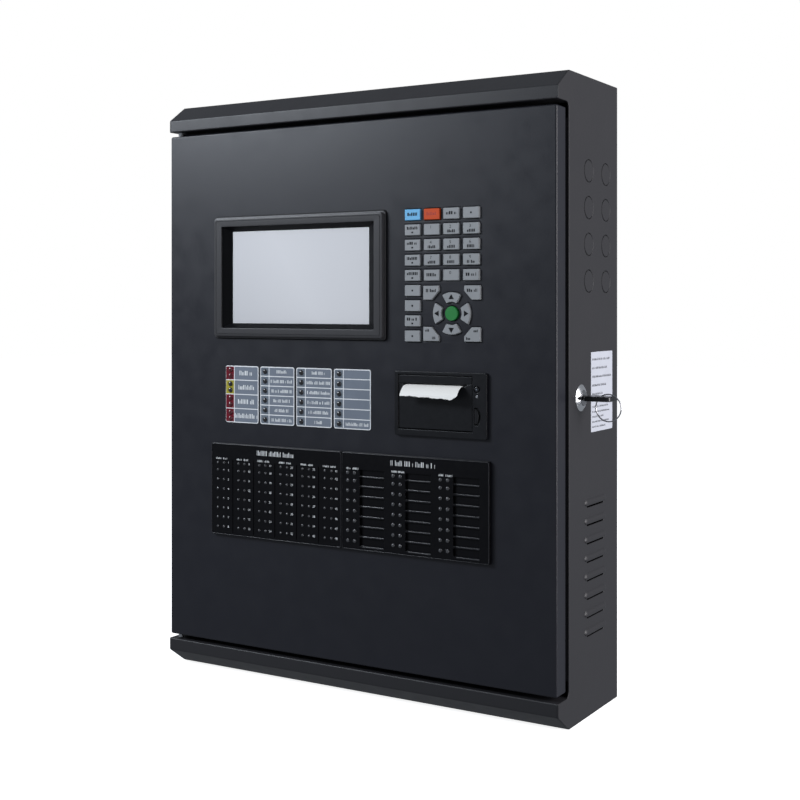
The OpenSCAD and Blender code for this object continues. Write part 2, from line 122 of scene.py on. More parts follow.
def area_light(name, place, target, size, power, tint=(1, 1, 1)):
    data = bpy.data.lights.new(name, "AREA")
    data.shape = "RECTANGLE"
    data.size, data.size_y = size
    data.energy = power
    data.color = tint
    light = bpy.data.objects.new(name, data)
    light.location = place
    light.rotation_euler = (Vector(target) - Vector(place)).to_track_quat("-Z", "Y").to_euler()
    bpy.context.scene.collection.objects.link(light)


def make_studio():
    """A white backdrop that lights the panel only softly, and three soft lights."""
    world = bpy.data.worlds.new("studio")
    world.use_nodes = True
    tree = world.node_tree
    fill = tree.nodes["Background"]
    fill.inputs["Color"].default_value = (*FILL_TINT, 1)
    fill.inputs["Strength"].default_value = FILL_STRENGTH
    backdrop = tree.nodes.new("ShaderNodeBackground")
    backdrop.inputs["Color"].default_value = (1, 1, 1, 1)
    path = tree.nodes.new("ShaderNodeLightPath")
    either = tree.nodes.new("ShaderNodeMixShader")
    tree.links.new(path.outputs["Is Camera Ray"], either.inputs["Fac"])
    tree.links.new(fill.outputs["Background"], either.inputs[1])
    tree.links.new(backdrop.outputs["Background"], either.inputs[2])
    tree.links.new(either.outputs["Shader"], tree.nodes["World Output"].inputs["Surface"])
    bpy.context.scene.world = world
    bpy.context.scene.view_settings.view_transform = "Standard"
    area_light("key_light", (-0.98, -1.08, 0.72), (-0.15, -0.13, 0.22), (0.55, 0.4), 17.5, FILL_TINT)
    area_light("side_light", (1.9, 0.1, 0.3), (0.2, -0.05, 0), (1.0, 1.5), 43, (1, 0.98, 1))
    area_light("top_light", (0.1, -0.4, 1.5), (0, -0.08, 0.2), (1.0, 0.6), 0.6)


# ---------------- materials


def put(node, **sockets):
    """Sets sockets by name; an underscore stands for a space."""
    for key, value in sockets.items():
        node.inputs[key.replace("_", " ")].default_value = value


class Tree:
    """Short ways to add and join the nodes of one material."""

    def __init__(self, name):
        self.material = bpy.data.materials.new(name)
        self.material.use_nodes = True
        self.nodes = self.material.node_tree.nodes
        self.links = self.material.node_tree.links
        self.shader = self.nodes["Principled BSDF"]

    def add(self, kind, **sockets):
        node = self.nodes.new(kind)
        put(node, **sockets)
        return node

    def join(self, out, into):
        self.links.new(out, into)

    def place(self, stretch=(1, 1, 1)):
        coordinates = self.nodes.new("ShaderNodeTexCoord")
        mapping = self.add("ShaderNodeMapping", Scale=stretch)
        self.join(coordinates.outputs["Object"], mapping.inputs["Vector"])
        return mapping.outputs["Vector"]

    def noise(self, size, detail=2.0, stretch=(1, 1, 1)):
        """Noise with features about this many metres across."""
        node = self.add("ShaderNodeTexNoise", Scale=1 / size, Detail=detail)
        self.join(self.place(stretch), node.inputs["Vector"])
        return node.outputs["Fac"]

    def spread(self, value, low, high):
        node = self.add("ShaderNodeMapRange", From_Min=0.25, From_Max=0.75, To_Min=low, To_Max=high)
        self.join(value, node.inputs["Value"])
        return node.outputs["Result"]

    def blend(self, value, first, second):
        node = self.nodes.new("ShaderNodeMix")
        node.data_type = "RGBA"
        ends = {"A": (*first, 1), "B": (*second, 1)}
        for socket in node.inputs:
            if socket.type == "RGBA":
                socket.default_value = ends[socket.name]
        self.join(value, node.inputs["Factor"])
        return [o for o in node.outputs if o.type == "RGBA"][0]

    def bump(self, value, depth, below=None):
        node = self.add("ShaderNodeBump", Distance=depth)
        self.join(value, node.inputs["Height"])
        if below:
            self.join(below, node.inputs["Normal"])
        self.join(node.outputs["Normal"], self.shader.inputs["Normal"])
        return node.outputs["Normal"]


LOOKS = {}


def finish_look(name, colour, rough, grain=0.6, depth=0.02, shade=0.12, patch=40, metal=0.0,
                stretch=(1, 1, 1), rough_spread=0.06, **extra):
    """Adds a material with mottled colour and roughness and a fine surface grain; sizes in mm."""
    tree = Tree(name)
    shader = tree.shader
    put(shader, Metallic=metal, **extra)
    dark = [c * (1 - shade) for c in colour]
    light = [min(1.0, c * (1 + shade)) for c in colour]
    cloud = tree.noise(patch * MM, 3.0, stretch)
    tree.join(tree.blend(tree.spread(cloud, 0, 1), dark, light), shader.inputs["Base Color"])
    wear = tree.noise(patch * MM / 5, 4.0, stretch)
    tree.join(tree.spread(wear, rough - rough_spread, rough + rough_spread), shader.inputs["Roughness"])
    tree.bump(tree.noise(grain * MM, 3.0, stretch), depth * MM)
    LOOKS[name] = tree.material


def screen_look():
    """The pale screen under a smooth cover; its colour is painted lighter towards one side, a painted
    highlight.
    """
    tree = Tree("screen_glass")
    painted_highlight_ramp = tree.nodes.new("ShaderNodeTexGradient")
    turn = tree.add("ShaderNodeMapping", Location=(0.95, 0, 0.15), Rotation=(0, 0.6, 0), Scale=(4.6, 1, 4.6))
    coordinates = tree.nodes.new("ShaderNodeTexCoord")
    tree.join(coordinates.outputs["Object"], turn.inputs["Vector"])
    tree.join(turn.outputs["Vector"], painted_highlight_ramp.inputs["Vector"])
    # painted highlight: the screen's colour runs from grey to pale across it
    tint = tree.blend(painted_highlight_ramp.outputs["Fac"], (0.44, 0.445, 0.465), (0.86, 0.85, 0.865))
    tree.join(tint, tree.shader.inputs["Base Color"])
    tree.join(tree.spread(tree.noise(0.05), 0.24, 0.26), tree.shader.inputs["Roughness"])
    tree.bump(tree.noise(0.0006), 0.000003)
    put(tree.shader, Coat_Weight=0.6, Coat_Roughness=0.05)
    return tree.material


def paper_look():
    tree = Tree("thermal_paper")
    fibres = tree.noise(0.0012, 5.0, (1, 2.5, 1))
    tree.join(tree.blend(tree.spread(fibres, 0, 1), (0.96, 0.94, 0.89), (1.0, 0.98, 0.94)),
              tree.shader.inputs["Base Color"])
    tree.join(tree.spread(tree.noise(0.006), 0.45, 0.6), tree.shader.inputs["Roughness"])
    tree.bump(fibres, 0.00003)
    put(tree.shader, Sheen_Weight=0.05)
    return tree.material


def board_look():
    """Green solder mask over faint copper tracks."""
    tree = Tree("circuit_board")
    tracks = tree.add("ShaderNodeTexBrick", Scale=90, Mortar_Size=0.03, Color1=(0.012, 0.10, 0.045, 1),
                      Color2=(0.016, 0.13, 0.055, 1), Mortar=(0.03, 0.2, 0.09, 1))
    turn = tree.add("ShaderNodeMapping", Rotation=(math.radians(90), 0, 0))
    coordinates = tree.nodes.new("ShaderNodeTexCoord")
    tree.join(coordinates.outputs["Object"], turn.inputs["Vector"])
    tree.join(turn.outputs["Vector"], tracks.inputs["Vector"])
    tree.join(tracks.outputs["Color"], tree.shader.inputs["Base Color"])
    tree.join(tree.spread(tree.noise(0.01), 0.3, 0.42), tree.shader.inputs["Roughness"])
    tree.bump(tracks.outputs["Fac"], 0.00003)
    return tree.material


finish_look("door_powder_coat", (0.0112, 0.0118, 0.0175), 0.39, 0.9, 0.04, 0.04, 90,
            Specular_IOR_Level=0.4)
finish_look("powder_coat", (0.022, 0.0215, 0.0245), 0.46, 0.9, 0.035, 0.03, 90, Specular_IOR_Level=0.4,
            rough_spread=0.03)
finish_look("plated_steel", (0.55, 0.56, 0.58), 0.36, 1.5, 0.01, 0.1, 12, 1.0)
LOOKS["circuit_board"] = board_look()
finish_look("battery_case", (0.022, 0.022, 0.025), 0.5, 0.8, 0.03)
finish_look("lock_chrome", (0.82, 0.83, 0.85), 0.2, 2, 0.003, 0.03, 10, 1.0, rough_spread=0.03)
finish_look("key_head", (0.008, 0.008, 0.01), 0.28, 1.2, 0.01)
finish_look("ring_steel", (0.42, 0.42, 0.44), 0.24, 1.5, 0.003, 0.05, 10, 1.0)
finish_look("bezel_plastic", (0.040, 0.039, 0.042), 0.40, 0.7, 0.012, 0.06, 5, stretch=(1, 1, 0.08),
            Specular_IOR_Level=0.4)
# Black of the screen mask; also the painted shadow round the bezel.
finish_look("screen_surround", (0.0035, 0.0035, 0.0045), 0.45, 0.5, 0.01, Specular_IOR_Level=0.12)
LOOKS["screen_glass"] = screen_look()
finish_look("overlay_film", (0.19, 0.22, 0.27), 0.42, 0.4, 0.008, 0.05, 20)
finish_look("overlay_white", (0.93, 0.94, 0.95), 0.42, 0.4, 0.008, 0.03, 20)
finish_look("overlay_red", (0.17, 0.006, 0.018), 0.42, 0.4, 0.008, 0.06, 20, Specular_IOR_Level=0.2)
finish_look("overlay_yellow", (0.42, 0.36, 0.03), 0.42, 0.4, 0.008, 0.05, 20, Specular_IOR_Level=0.3)
finish_look("led_lens", (0.06, 0.061, 0.066), 0.1, 0.5, 0.004, 0.1, 3, Coat_Weight=0.8)
finish_look("led_dark", (0.014, 0.014, 0.017), 0.1, 0.5, 0.004, 0.1, 3, Coat_Weight=0.8)
finish_look("panel_plastic", (0.0028, 0.0028, 0.004), 0.34, 0.5, 0.008, 0.1, 20,
            Specular_IOR_Level=0.16)
# Paler plastic for the painted highlights on the panel rims and shelves.
finish_look("panel_edge", (0.018, 0.018, 0.022), 0.3, 0.5, 0.01, 0.1, 10)
finish_look("printer_plastic", (0.006, 0.0065, 0.0085), 0.36, 0.5, 0.02, 0.1, 20,
            Specular_IOR_Level=0.3)
LOOKS["thermal_paper"] = paper_look()
finish_look("platen_rubber", (0.018, 0.018, 0.02), 0.7, 0.6, 0.03)
finish_look("key_grey", (0.34, 0.35, 0.36), 0.4, 0.4, 0.012, 0.04, 12)
finish_look("key_blue", (0.18, 0.55, 0.92), 0.4, 0.4, 0.012, 0.04, 12)
finish_look("key_orange", (0.68, 0.085, 0.018), 0.4, 0.4, 0.012, 0.05, 12, Specular_IOR_Level=0.25)
finish_look("key_green", (0.02, 0.24, 0.05), 0.35, 0.4, 0.012, 0.06, 12)
# Dark ink for print; also the painted shade on the key flanges.
finish_look("ink_dark", (0.005, 0.005, 0.007), 0.5, 0.3, 0.004, 0.2, 3, Specular_IOR_Level=0.15)
finish_look("ink_white", (0.94, 0.95, 0.95), 0.5, 0.3, 0.004, 0.05, 3)
finish_look("chip_black", (0.018, 0.018, 0.02), 0.5, 0.4, 0.02)
finish_look("terminal_green", (0.03, 0.28, 0.12), 0.45, 0.5, 0.02, 0.05, 10)
finish_look("label_paper", (0.52, 0.54, 0.60), 0.5, 0.5, 0.008, 0.03, 15)
finish_look("label_blue", (0.03, 0.10, 0.28), 0.5, 0.5, 0.008, 0.05, 15)
finish_look("cap_blue", (0.02, 0.08, 0.3), 0.4, 0.5, 0.01, 0.05, 10)
finish_look("ink_red", (0.45, 0.03, 0.01), 0.5, 0.3, 0.004, 0.1, 3)
# Grey-blue print of the lamp cells; also the painted glint on the feed button.
finish_look("overlay_shade", (0.15, 0.18, 0.22), 0.42, 0.4, 0.008, 0.05, 20)
finish_look("led_red", (0.10, 0.006, 0.012), 0.1, 0.5, 0.004, 0.1, 3, Coat_Weight=0.8)
finish_look("cap_red", (0.5, 0.02, 0.02), 0.45, 0.5, 0.01, 0.05, 10)
finish_look("floor", (0.84, 0.84, 0.84), 0.8, 3, 0.01, 0.01, 300, Specular_IOR_Level=0.1,
            Emission_Color=(1, 1, 1, 1), Emission_Strength=0.85)

# ---------------- outlines


def fillet(points, radii, steps=5):
    """A closed outline with its corners rounded; radii is one radius or one per corner."""
    if not isinstance(radii, (list, tuple)):
        radii = [radii] * len(points)
    outline = []
    for i, radius in enumerate(radii):
        here = Vector(points[i])
        if radius == 0:
            outline.append(tuple(here))
            continue
        back = (Vector(points[i - 1]) - here).normalized()
        ahead = (Vector(points[(i + 1) % len(points)]) - here).normalized()
        half = back.angle(ahead) / 2
        centre = here + (back + ahead).normalized() * (radius / math.sin(half))
        start = here + back * (radius / math.tan(half)) - centre
        end = here + ahead * (radius / math.tan(half)) - centre
        sweep = math.pi - 2 * half
        for step in range(steps + 1):
            t = step / steps
            spoke = start * math.sin((1 - t) * sweep) + end * math.sin(t * sweep)
            outline.append(tuple(centre + spoke / math.sin(sweep)))
    return outline


def rectangle(u, v, w, h, radius=0.0, steps=5):
    """A rectangle about (u, v), with round corners."""
    points = [(u - w / 2, v - h / 2), (u + w / 2, v - h / 2), (u + w / 2, v + h / 2), (u - w / 2, v + h / 2)]
    return fillet(points, radius, steps)


def span(u0, v0, u1, v1, radius=0.0):
    """A rectangle from one corner to the opposite one."""
    return rectangle((u0 + u1) / 2, (v0 + v1) / 2, abs(u1 - u0), abs(v1 - v0), radius)


def circle(u, v, radius, steps=24):
    turn = 2 * math.pi / steps
    return [(u + radius * math.cos(i * turn), v + radius * math.sin(i * turn)) for i in range(steps)]


# ---------------- solids


INK_HEIGHT = 0.025


class Solids:
    """Closed solids in one mesh that becomes one piece; paint() picks the look of what comes next."""

    def __init__(self, look):
        self.bm = bmesh.new()
        self.looks = [look]
        self.index = 0

    def paint(self, look):
        if look not in self.looks:
            self.looks.append(look)
        self.index = self.looks.index(look)

    def face(self, verts):
        self.bm.faces.new(verts).material_index = self.index

    def rings(self, rings, closed=False):
        """Joins rings of equally many points; the ends are capped, or joined to each other."""
        rows = [[self.bm.verts.new(p) for p in ring] for ring in rings]
        count = len(rows[0])
        pairs = list(zip(rows, rows[1:])) + ([(rows[-1], rows[0])] if closed else [])
        for a, b in pairs:
            for i in range(count):
                j = (i + 1) % count
                self.face((a[i], a[j], b[j], b[i]))
        if not closed:
            self.face(rows[0][::-1])
            self.face(rows[-1])

    def prism(self, outline, low, high, plane=FACE):
        self.rings([[plane @ Vector((u, v, w)) for u, v in outline] for w in (low, high)])

    def layers(self, layers, plane=FACE, closed=False):
        """Joins outlines at their own heights: each layer is (outline, height)."""
        self.rings([[plane @ Vector((u, v, w)) for u, v in line] for line, w in layers], closed)

    def loop(self, layers, plane=FACE):
        """Layers whose last outline joins the first, such as a frame or a tube."""
        self.layers(layers, plane, closed=True)

    def box(self, low, high):
        outline = span(low[0], low[1], high[0], high[1])
        self.prism(outline, low[2], high[2], SPACE)

    def take(self, curve, plane):
        """Adds the solid that a flat curve or a number makes; these are drawn in metres."""
        carrier = bpy.data.objects.new("outline", curve)
        mesh = bpy.data.meshes.new_from_object(carrier)
        mesh.transform(plane @ Matrix.Scale(1 / MM, 4))
        for polygon in mesh.polygons:
            polygon.material_index = self.index
        self.bm.from_mesh(mesh)
        bpy.data.objects.remove(carrier)
        bpy.data.curves.remove(curve)
        bpy.data.meshes.remove(mesh)

    def plate(self, outline, holes, low, high, edge, plane=FACE, rounds=1):
        """A sheet with holes through it and rounded edges."""
        curve = bpy.data.curves.new("plate", "CURVE")
        curve.dimensions = "2D"
        curve.fill_mode = "BOTH"
        curve.extrude = ((high - low) / 2 - edge) * MM
        curve.bevel_depth = edge * MM
        curve.bevel_resolution = rounds
        curve.offset = -edge * MM
        for ring in [outline, *holes]:
            spline = curve.splines.new("POLY")
            spline.points.add(len(ring) - 1)
            spline.use_cyclic_u = True
            for point, (u, v) in zip(spline.points, ring):
                point.co = (u * MM, v * MM, 0, 1)
        self.take(curve, at(plane, 0, 0, (low + high) / 2))

    def text(self, number, u, v, size, height, plane=FACE):
        """A plain number, printed on a surface."""
        curve = bpy.data.curves.new("number", "FONT")
        curve.body = number
        curve.size = size * MM
        curve.align_x = "CENTER"
        curve.align_y = "CENTER"
        curve.extrude = INK_HEIGHT * MM
        curve.resolution_u = 2
        self.take(curve, at(plane, u, v, height))

    def words(self, bars, low, high, plane=FACE):
        for bar in bars:
            self.prism(bar, low, high, plane)

    def lathe(self, profile, plane, steps=32):
        """Turns (radius, height) points about the plane's w axis; the ends meet the axis."""
        self.layers([(circle(0, 0, max(radius, 0.001), steps), height) for radius, height in profile], plane)

    def make(self, name, body, *stands_for, bevel=0.0, angle=35):
        """Ends the mesh as one piece that rides on a body and stands for the named CAD nodes."""
        bmesh.ops.remove_doubles(self.bm, verts=self.bm.verts, dist=2e-6)
        bmesh.ops.recalc_face_normals(self.bm, faces=self.bm.faces)
        mesh = bpy.data.meshes.new(name)
        self.bm.to_mesh(mesh)
        self.bm.free()
        obj = bpy.data.objects.new(name, mesh)
        bpy.context.scene.collection.objects.link(obj)
        for polygon in mesh.polygons:
            polygon.use_smooth = True
        mesh.set_sharp_from_angle(angle=math.radians(angle))
        if bevel:
            add_bevel(obj, bevel, angle)
        else:
            obj.modifiers.new("normals", "WEIGHTED_NORMAL").keep_sharp = True
        for look in self.looks:
            mesh.materials.append(LOOKS[look])
        if body:
            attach(obj, body)
        if stands_for:
            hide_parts(*stands_for)
        return obj


def add_bevel(obj, width, angle):
    bevel = obj.modifiers.new("edges", "BEVEL")
    bevel.width = width * MM
    bevel.segments = 2
    bevel.limit_method = "ANGLE"
    bevel.angle_limit = math.radians(angle)
    bevel.harden_normals = True


def keep_node(node, look, edge):
    """A CAD node that stays: it gets its material and softened edges."""
    obj = nodes[node]
    obj.data.materials.clear()
    obj.data.materials.append(LOOKS[look])
    weld = obj.modifiers.new("weld", "WELD")
    weld.merge_threshold = 1e-6
    add_bevel(obj, edge, 40)


def word_bars(u, v, width, height, seed=1, weight=1.0):
    """Stands for a printed word: a row of thin upright strokes of two heights, with no letters in it."""
    outlines = []
    at = u - width / 2
    number = seed
    while at < u + width / 2 - height * 0.12:
        number = (number * 73 + 41) % 101
        stroke = min(weight * height * (0.13 + 0.15 * number / 101), u + width / 2 - at)
        top = v + height / 2 - (height * 0.3 if number % 3 == 0 else 0)
        outlines.append(span(at, v - height / 2, at + stroke, top))
        at += stroke + height * 0.2
        if number % 7 == 0:
            at += height * 0.4
    return outlines


# ---------------- cabinet


def side_plate(solids, plane):
    """A side wall: cut back beside the door, with louvre slots and knockouts."""
    back = -1.5
    outline = fillet(
        [(0, -HALF_H), (0, HALF_H), (SLOPE_BACK, HALF_H), (FRONT, LIP_OUT), (FRONT, LIP_IN),
         (SIDE_FRONT, LIP_IN), (SIDE_FRONT, -LIP_IN), (FRONT, -LIP_IN), (FRONT, -LIP_OUT),
         (SLOPE_BACK, -HALF_H)],
        [0.5, 0.5, 3, 2.5, 0.7, 5, 5, 0.7, 2.5, 3], 6)
    holes = [span(-70, z - 4, -33, z - 1, 0.8) for z in LOUVRES]
    holes += [circle(y, z, KNOCKOUT_R, 40) for y, z in KNOCKOUTS]
    if plane is RIGHT:
        holes.append(circle(LOCK.y, 0, 9.6, 40))
    solids.plate(outline, holes, back, 0, 0.5, plane, 2)
    for y, z in KNOCKOUTS:
        disc = at(plane, y, z)
        solids.lathe([(0, back), (10.3, back), (10.3, -1.1), (9.4, -1),
                      (9.4, -0.2), (9.15, 0.1), (0, 0.1)], disc, 40)
    for z in LOUVRES:
        louvre(solids, z, plane)


def louvre(solids, z, plane):
    """A pressed hood over one slot, open along its lower edge."""
    radius, sunk, half_length = 5, 3.4, 20
    ends = math.sqrt(radius ** 2 - sunk ** 2) * 0.98
    rings = []
    for step in range(25):
        t = step / 24 * 2 - 1
        along = t * (half_length + ends)
        past = max(0.0, abs(along) - half_length)
        big = math.sqrt(radius ** 2 - past ** 2)
        high = math.sqrt(big ** 2 - sunk ** 2)
        low = -min(2, high)
        ring = [(low, -1.2)]
        for i in range(9):
            v = low + (high - low) * i / 8
            ring.append((v, math.sqrt(big ** 2 - v ** 2) - sunk))
        ring.append((high, -1.2))
        rings.append([plane @ Vector((-51.8 + along, z + v, w)) for v, w in ring])
    solids.rings(rings)


def hood(solids, up):
    """The top or bottom hood, folded from one sheet, with the flange that frames the door."""
    lean = math.atan2(HALF_H - LIP_OUT, SLOPE_BACK - FRONT)
    roof = SHEET * math.tan(lean / 2)
    lip = SHEET * math.tan((math.pi / 2 - lean) / 2)
    points = [
        (0, HALF_H), (SLOPE_BACK, HALF_H), (FRONT, LIP_OUT), (FRONT, LIP_IN), (SIDE_FRONT, LIP_IN),
        (SIDE_FRONT, LIP_IN - FLANGE), (SIDE_FRONT + SHEET, LIP_IN - FLANGE),
        (SIDE_FRONT + SHEET, LIP_IN + SHEET), (FRONT + SHEET, LIP_IN + SHEET),
        (FRONT + SHEET, LIP_OUT - lip), (SLOPE_BACK + roof, HALF_H - SHEET), (0, HALF_H - SHEET)]
    outline = fillet(points, [0.4, 3, 2.5, 1.2, 0.5, 0.5, 0.5, 0.8, 0.3, 1, 1.5, 0.4], 5)
    if not up:
        outline = [(u, -v) for u, v in outline]
    reach = HALF_W - SHEET + 0.03
    solids.prism(outline, -reach, reach, ACROSS)


LOUVRES = [-92 - 16 * i for i in range(8)]
KNOCKOUTS = [(y, 196 - 31.9 * i) for y in (-66, -27.4) for i in range(4)]
KNOCKOUT_R = 10
WALL_BOLT_X, WALL_BOLT_Z, WALL_BOLT_R = 170, 220, 3.5
FLANGE = 14


def make_cabinet():
    shell = Solids("powder_coat")
    side_plate(shell, RIGHT)
    side_plate(shell, LEFT)
    hood(shell, True)
    hood(shell, False)
    bolts = [circle(x * WALL_BOLT_X, z * WALL_BOLT_Z, WALL_BOLT_R, 32) for x in (-1, 1) for z in (-1, 1)]
    back = rectangle(0, 0, 2 * (HALF_W - SHEET) + 0.06, 2 * (HALF_H - SHEET) + 0.06, 0.5)
    shell.plate(back, bolts, -SHEET, 0, 0.3, BACK)
    for side in (-1, 1):
        inner, outer = side * (HALF_W - FLANGE), side * (HALF_W - SHEET + 0.03)
        shell.box((min(inner, outer), SIDE_FRONT, -LIP_IN), (max(inner, outer), SIDE_FRONT + SHEET, LIP_IN))
        for z in (-155, 205):
            stud = basis((side * 135, 0, z), X, Z, -Y)
            shell.lathe([(0, 1), (4, 1), (4, 10), (3.5, 10.5), (0, 10.5)],
                        stud, 24)
    shell.make("cabinet_body", "cabinet", "cabinet_shell")
    label = Solids("label_paper")
    label.prism(span(-61.5, -31.4, -12.5, 38.5, 1), -0.02, 0.12, RIGHT)
    label.paint("ink_dark")
    lines = [(32 - 7.6 * i, 1.9) for i in range(5)] + [(-9.5 - 4.4 * i, 1.5) for i in range(5)]
    for row, (v, height) in enumerate(lines):
        width = (40, 34, 44, 32, 24, 36, 40, 26, 38, 30)[row]
        label.words(word_bars(-59 + width / 2, v, width, height, row + 3), 0.11, 0.15, RIGHT)
    label.make("side_label", "cabinet")


# ---------------- key shapes on the door

KEY_W, KEY_H, CORNER_H = 16.3, 10.3, 13
PITCH_X, PITCH_Z = 19.45, 13.35
FIRST_X, FIRST_Z = 70.9, 159
NAV_X, NAV_Z = 110, 72.2
NAV_OUT, NAV_IN, NAV_SPREAD, OK_R = 18.7, 9.7, math.radians(31), 6.6
CUT_X, CUT_Z = 7.5, 8


def bar_face(g):
    return rectangle(0, 0, KEY_W + 2 * g, KEY_H + 2 * g, 1 + g)


def corner_face(g):
    """A key with one corner cut off; the cut is at its lower right."""
    a, b = KEY_W / 2 + g, CORNER_H / 2 + g
    u0, v0 = KEY_W / 2 - CUT_X, -CORNER_H / 2
    slant = math.hypot(CUT_X, CUT_Z) * g
    low_u = u0 + (slant + CUT_X * (-b - v0)) / CUT_Z
    high_v = v0 + (CUT_Z * (a - u0) - slant) / CUT_X
    return fillet([(-a, -b), (low_u, -b), (a, high_v), (a, b), (-a, b)], 0.8 + g * 0.7)


def sector_face(g):
    """A quarter of the direction pad: a piece of a ring with straight sides."""
    apex = -g / math.sin(NAV_SPREAD)
    reach = []
    for radius in (NAV_OUT + g, NAV_IN - g):
        along = apex * math.cos(NAV_SPREAD)
        t = -along + math.sqrt(along ** 2 - apex ** 2 + radius ** 2)
        reach.append(math.atan2(t * math.sin(NAV_SPREAD), apex + t * math.cos(NAV_SPREAD)))
    outer = [math.pi / 2 + reach[0] * (1 - 2 * i / 8) for i in range(9)]
    inner = [math.pi / 2 - reach[1] * (1 - 2 * i / 4) for i in range(5)]
    points = [((NAV_OUT + g) * math.cos(a), (NAV_OUT + g) * math.sin(a)) for a in outer]
    points += [((NAV_IN - g) * math.cos(a), (NAV_IN - g) * math.sin(a)) for a in inner]
    radii = [0.0] * len(points)
    for corner in (0, 8, 9, 13):
        radii[corner] = 0.8 + g * 0.5
    return fillet(points, radii, 3)


def round_face(g):
    return circle(0, 0, OK_R + g, 40)


def placed(outline, u, v, turn=0.0, flip_u=False, flip_v=False):
    """An outline mirrored, turned anticlockwise and moved to its place."""
    cos, sin = math.cos(turn), math.sin(turn)
    moved = []
    for a, b in outline:
        a, b = (-a if flip_u else a), (-b if flip_v else b)
        moved.append((u + a * cos - b * sin, v + a * sin + b * cos))
    return moved


class Key:
    """One key: the shape of its face and where it sits."""

    def __init__(self, name, face, u, v, turn=0.0, flip_u=False, flip_v=False, look="key_grey"):
        self.name, self.face, self.u, self.v, self.look = name, face, u, v, look
        self.turn, self.flip_u, self.flip_v = turn, flip_u, flip_v

    def outline(self, g=0.0):
        return placed(self.face(g), self.u, self.v, self.turn, self.flip_u, self.flip_v)

    def stem(self):
        reach = (NAV_OUT + NAV_IN) / 2 if self.face is sector_face else 0
        return placed([(0, reach)], self.u, self.v, self.turn)[0]


def all_keys():
    keys = []
    for row in range(1, 10):
        for column in range(1, 5):
            if row > 5 and column > 1:
                continue
            look = {(1, 1): "key_blue", (1, 2): "key_orange"}.get((row, column), "key_grey")
            keys.append(Key(f"key_r{row}_c{column}", bar_face, FIRST_X + (column - 1) * PITCH_X,
                            FIRST_Z - (row - 1) * PITCH_Z, look=look))
    for row, side_v in ((6, 1), (9, -1)):
        for column, side_u in ((2, -1), (4, 1)):
            keys.append(Key(f"key_r{row}_c{column}", corner_face, NAV_X + side_u * 20.3,
                            NAV_Z + side_v * 18, flip_u=side_u > 0, flip_v=side_v < 0))
    for i, way in enumerate(("up", "left", "down", "right")):
        keys.append(Key("key_" + way, sector_face, NAV_X, NAV_Z, i * math.pi / 2))
    keys.append(Key("key_ok", round_face, NAV_X, NAV_Z, look="key_green"))
    return keys


KEYS = all_keys()
KEY_TOP = 2
NUMBERS = {"r2_c2": "1", "r2_c3": "2", "r2_c4": "3", "r3_c2": "4", "r3_c3": "5", "r3_c4": "6",
           "r4_c2": "7", "r4_c3": "8", "r4_c4": "9", "r5_c3": "0"}
LONG_WORDS = ("r1_c1", "r1_c2", "r1_c3", "r5_c2", "r5_c4", "r6_c2", "r6_c4")
WORD_AND_SIGN = ("r2_c1", "r3_c1", "r4_c1", "r5_c1", "r8_c1")


def key_marks(solids, key):
    """What is printed on a key: a number, bars in place of a word, an arrow or a dot."""
    code = key.name[4:]
    number = sum(ord(letter) for letter in code)
    top, ink = KEY_TOP - 0.02, KEY_TOP + 0.03
    bars = []
    if code in LONG_WORDS:
        lift = 2 if key.face is corner_face else 0.4
        bars += word_bars(key.u, key.v + lift, 10, 2.8, number, 2)
    elif code in WORD_AND_SIGN:
        bars += word_bars(key.u, key.v + 1.6, 11, 2.6, number, 2)
        bars.append(span(key.u - 0.9, key.v - 3, key.u + 0.9, key.v - 1.5))
    elif code in NUMBERS:
        lift = 1.9
        solids.text(NUMBERS[code], key.u - 0.8, key.v + lift, 4, KEY_TOP)
        if NUMBERS[code] not in "01":
            bars += word_bars(key.u, key.v - 2, 7.5, 2.6, number, 2)
    elif key.face is sector_face:
        arrow = [(-2.7, 12.4), (2.7, 12.4), (0, 16.9)]
        bars.append(placed(arrow, key.u, key.v, key.turn))
    elif key.face is corner_face:
        side = 1 if key.flip_u else -1
        bars += word_bars(key.u + side * 3.5, key.v + 3.2, 4, 2.3, number, 2)
        bars += word_bars(key.u - side * 3.5, key.v - 3.4, 4.4, 2.3, number + 1, 2)
    elif key.face is bar_face:
        bars.append(span(key.u - 0.8, key.v - 0.8, key.u + 0.8, key.v + 0.8, 0.3))
    solids.words(bars, top, ink)


def make_key(key):
    solids = Solids(key.look)
    back, shelf = -SHEET - 1, -SHEET - 0.05
    crown = 0.35 if key.face is round_face else 0.12
    solids.layers([
        (key.outline(-0.2), shelf - 0.1), (key.outline(-0.25), KEY_TOP - 0.8),
        (key.outline(-0.35), KEY_TOP - 0.4), (key.outline(-0.55), KEY_TOP - crown - 0.08),
        (key.outline(-0.7), KEY_TOP - 0.03), (key.outline(-0.8), KEY_TOP)])
    # The flange behind the door, seen through the gap round the key, is painted black as painted shade in
    # that gap; the same black prints the marks on most keys.
    solids.paint("ink_dark")
    solids.layers([(key.outline(1), back), (key.outline(1), shelf)])
    u, v = key.stem()
    foot = BOARD - 0.8 - 1.25 - FRONT
    solids.lathe([(0, -foot), (1.8, -foot), (2, -foot + 0.2), (2, back + 0.3),
                  (0, back + 0.3)], at(FACE, u, v), 16)
    if key.look == "key_orange":
        solids.paint("ink_red")
    key_marks(solids, key)
    solids.make(key.name + "_cap", key.name, key.name)


# ---------------- door

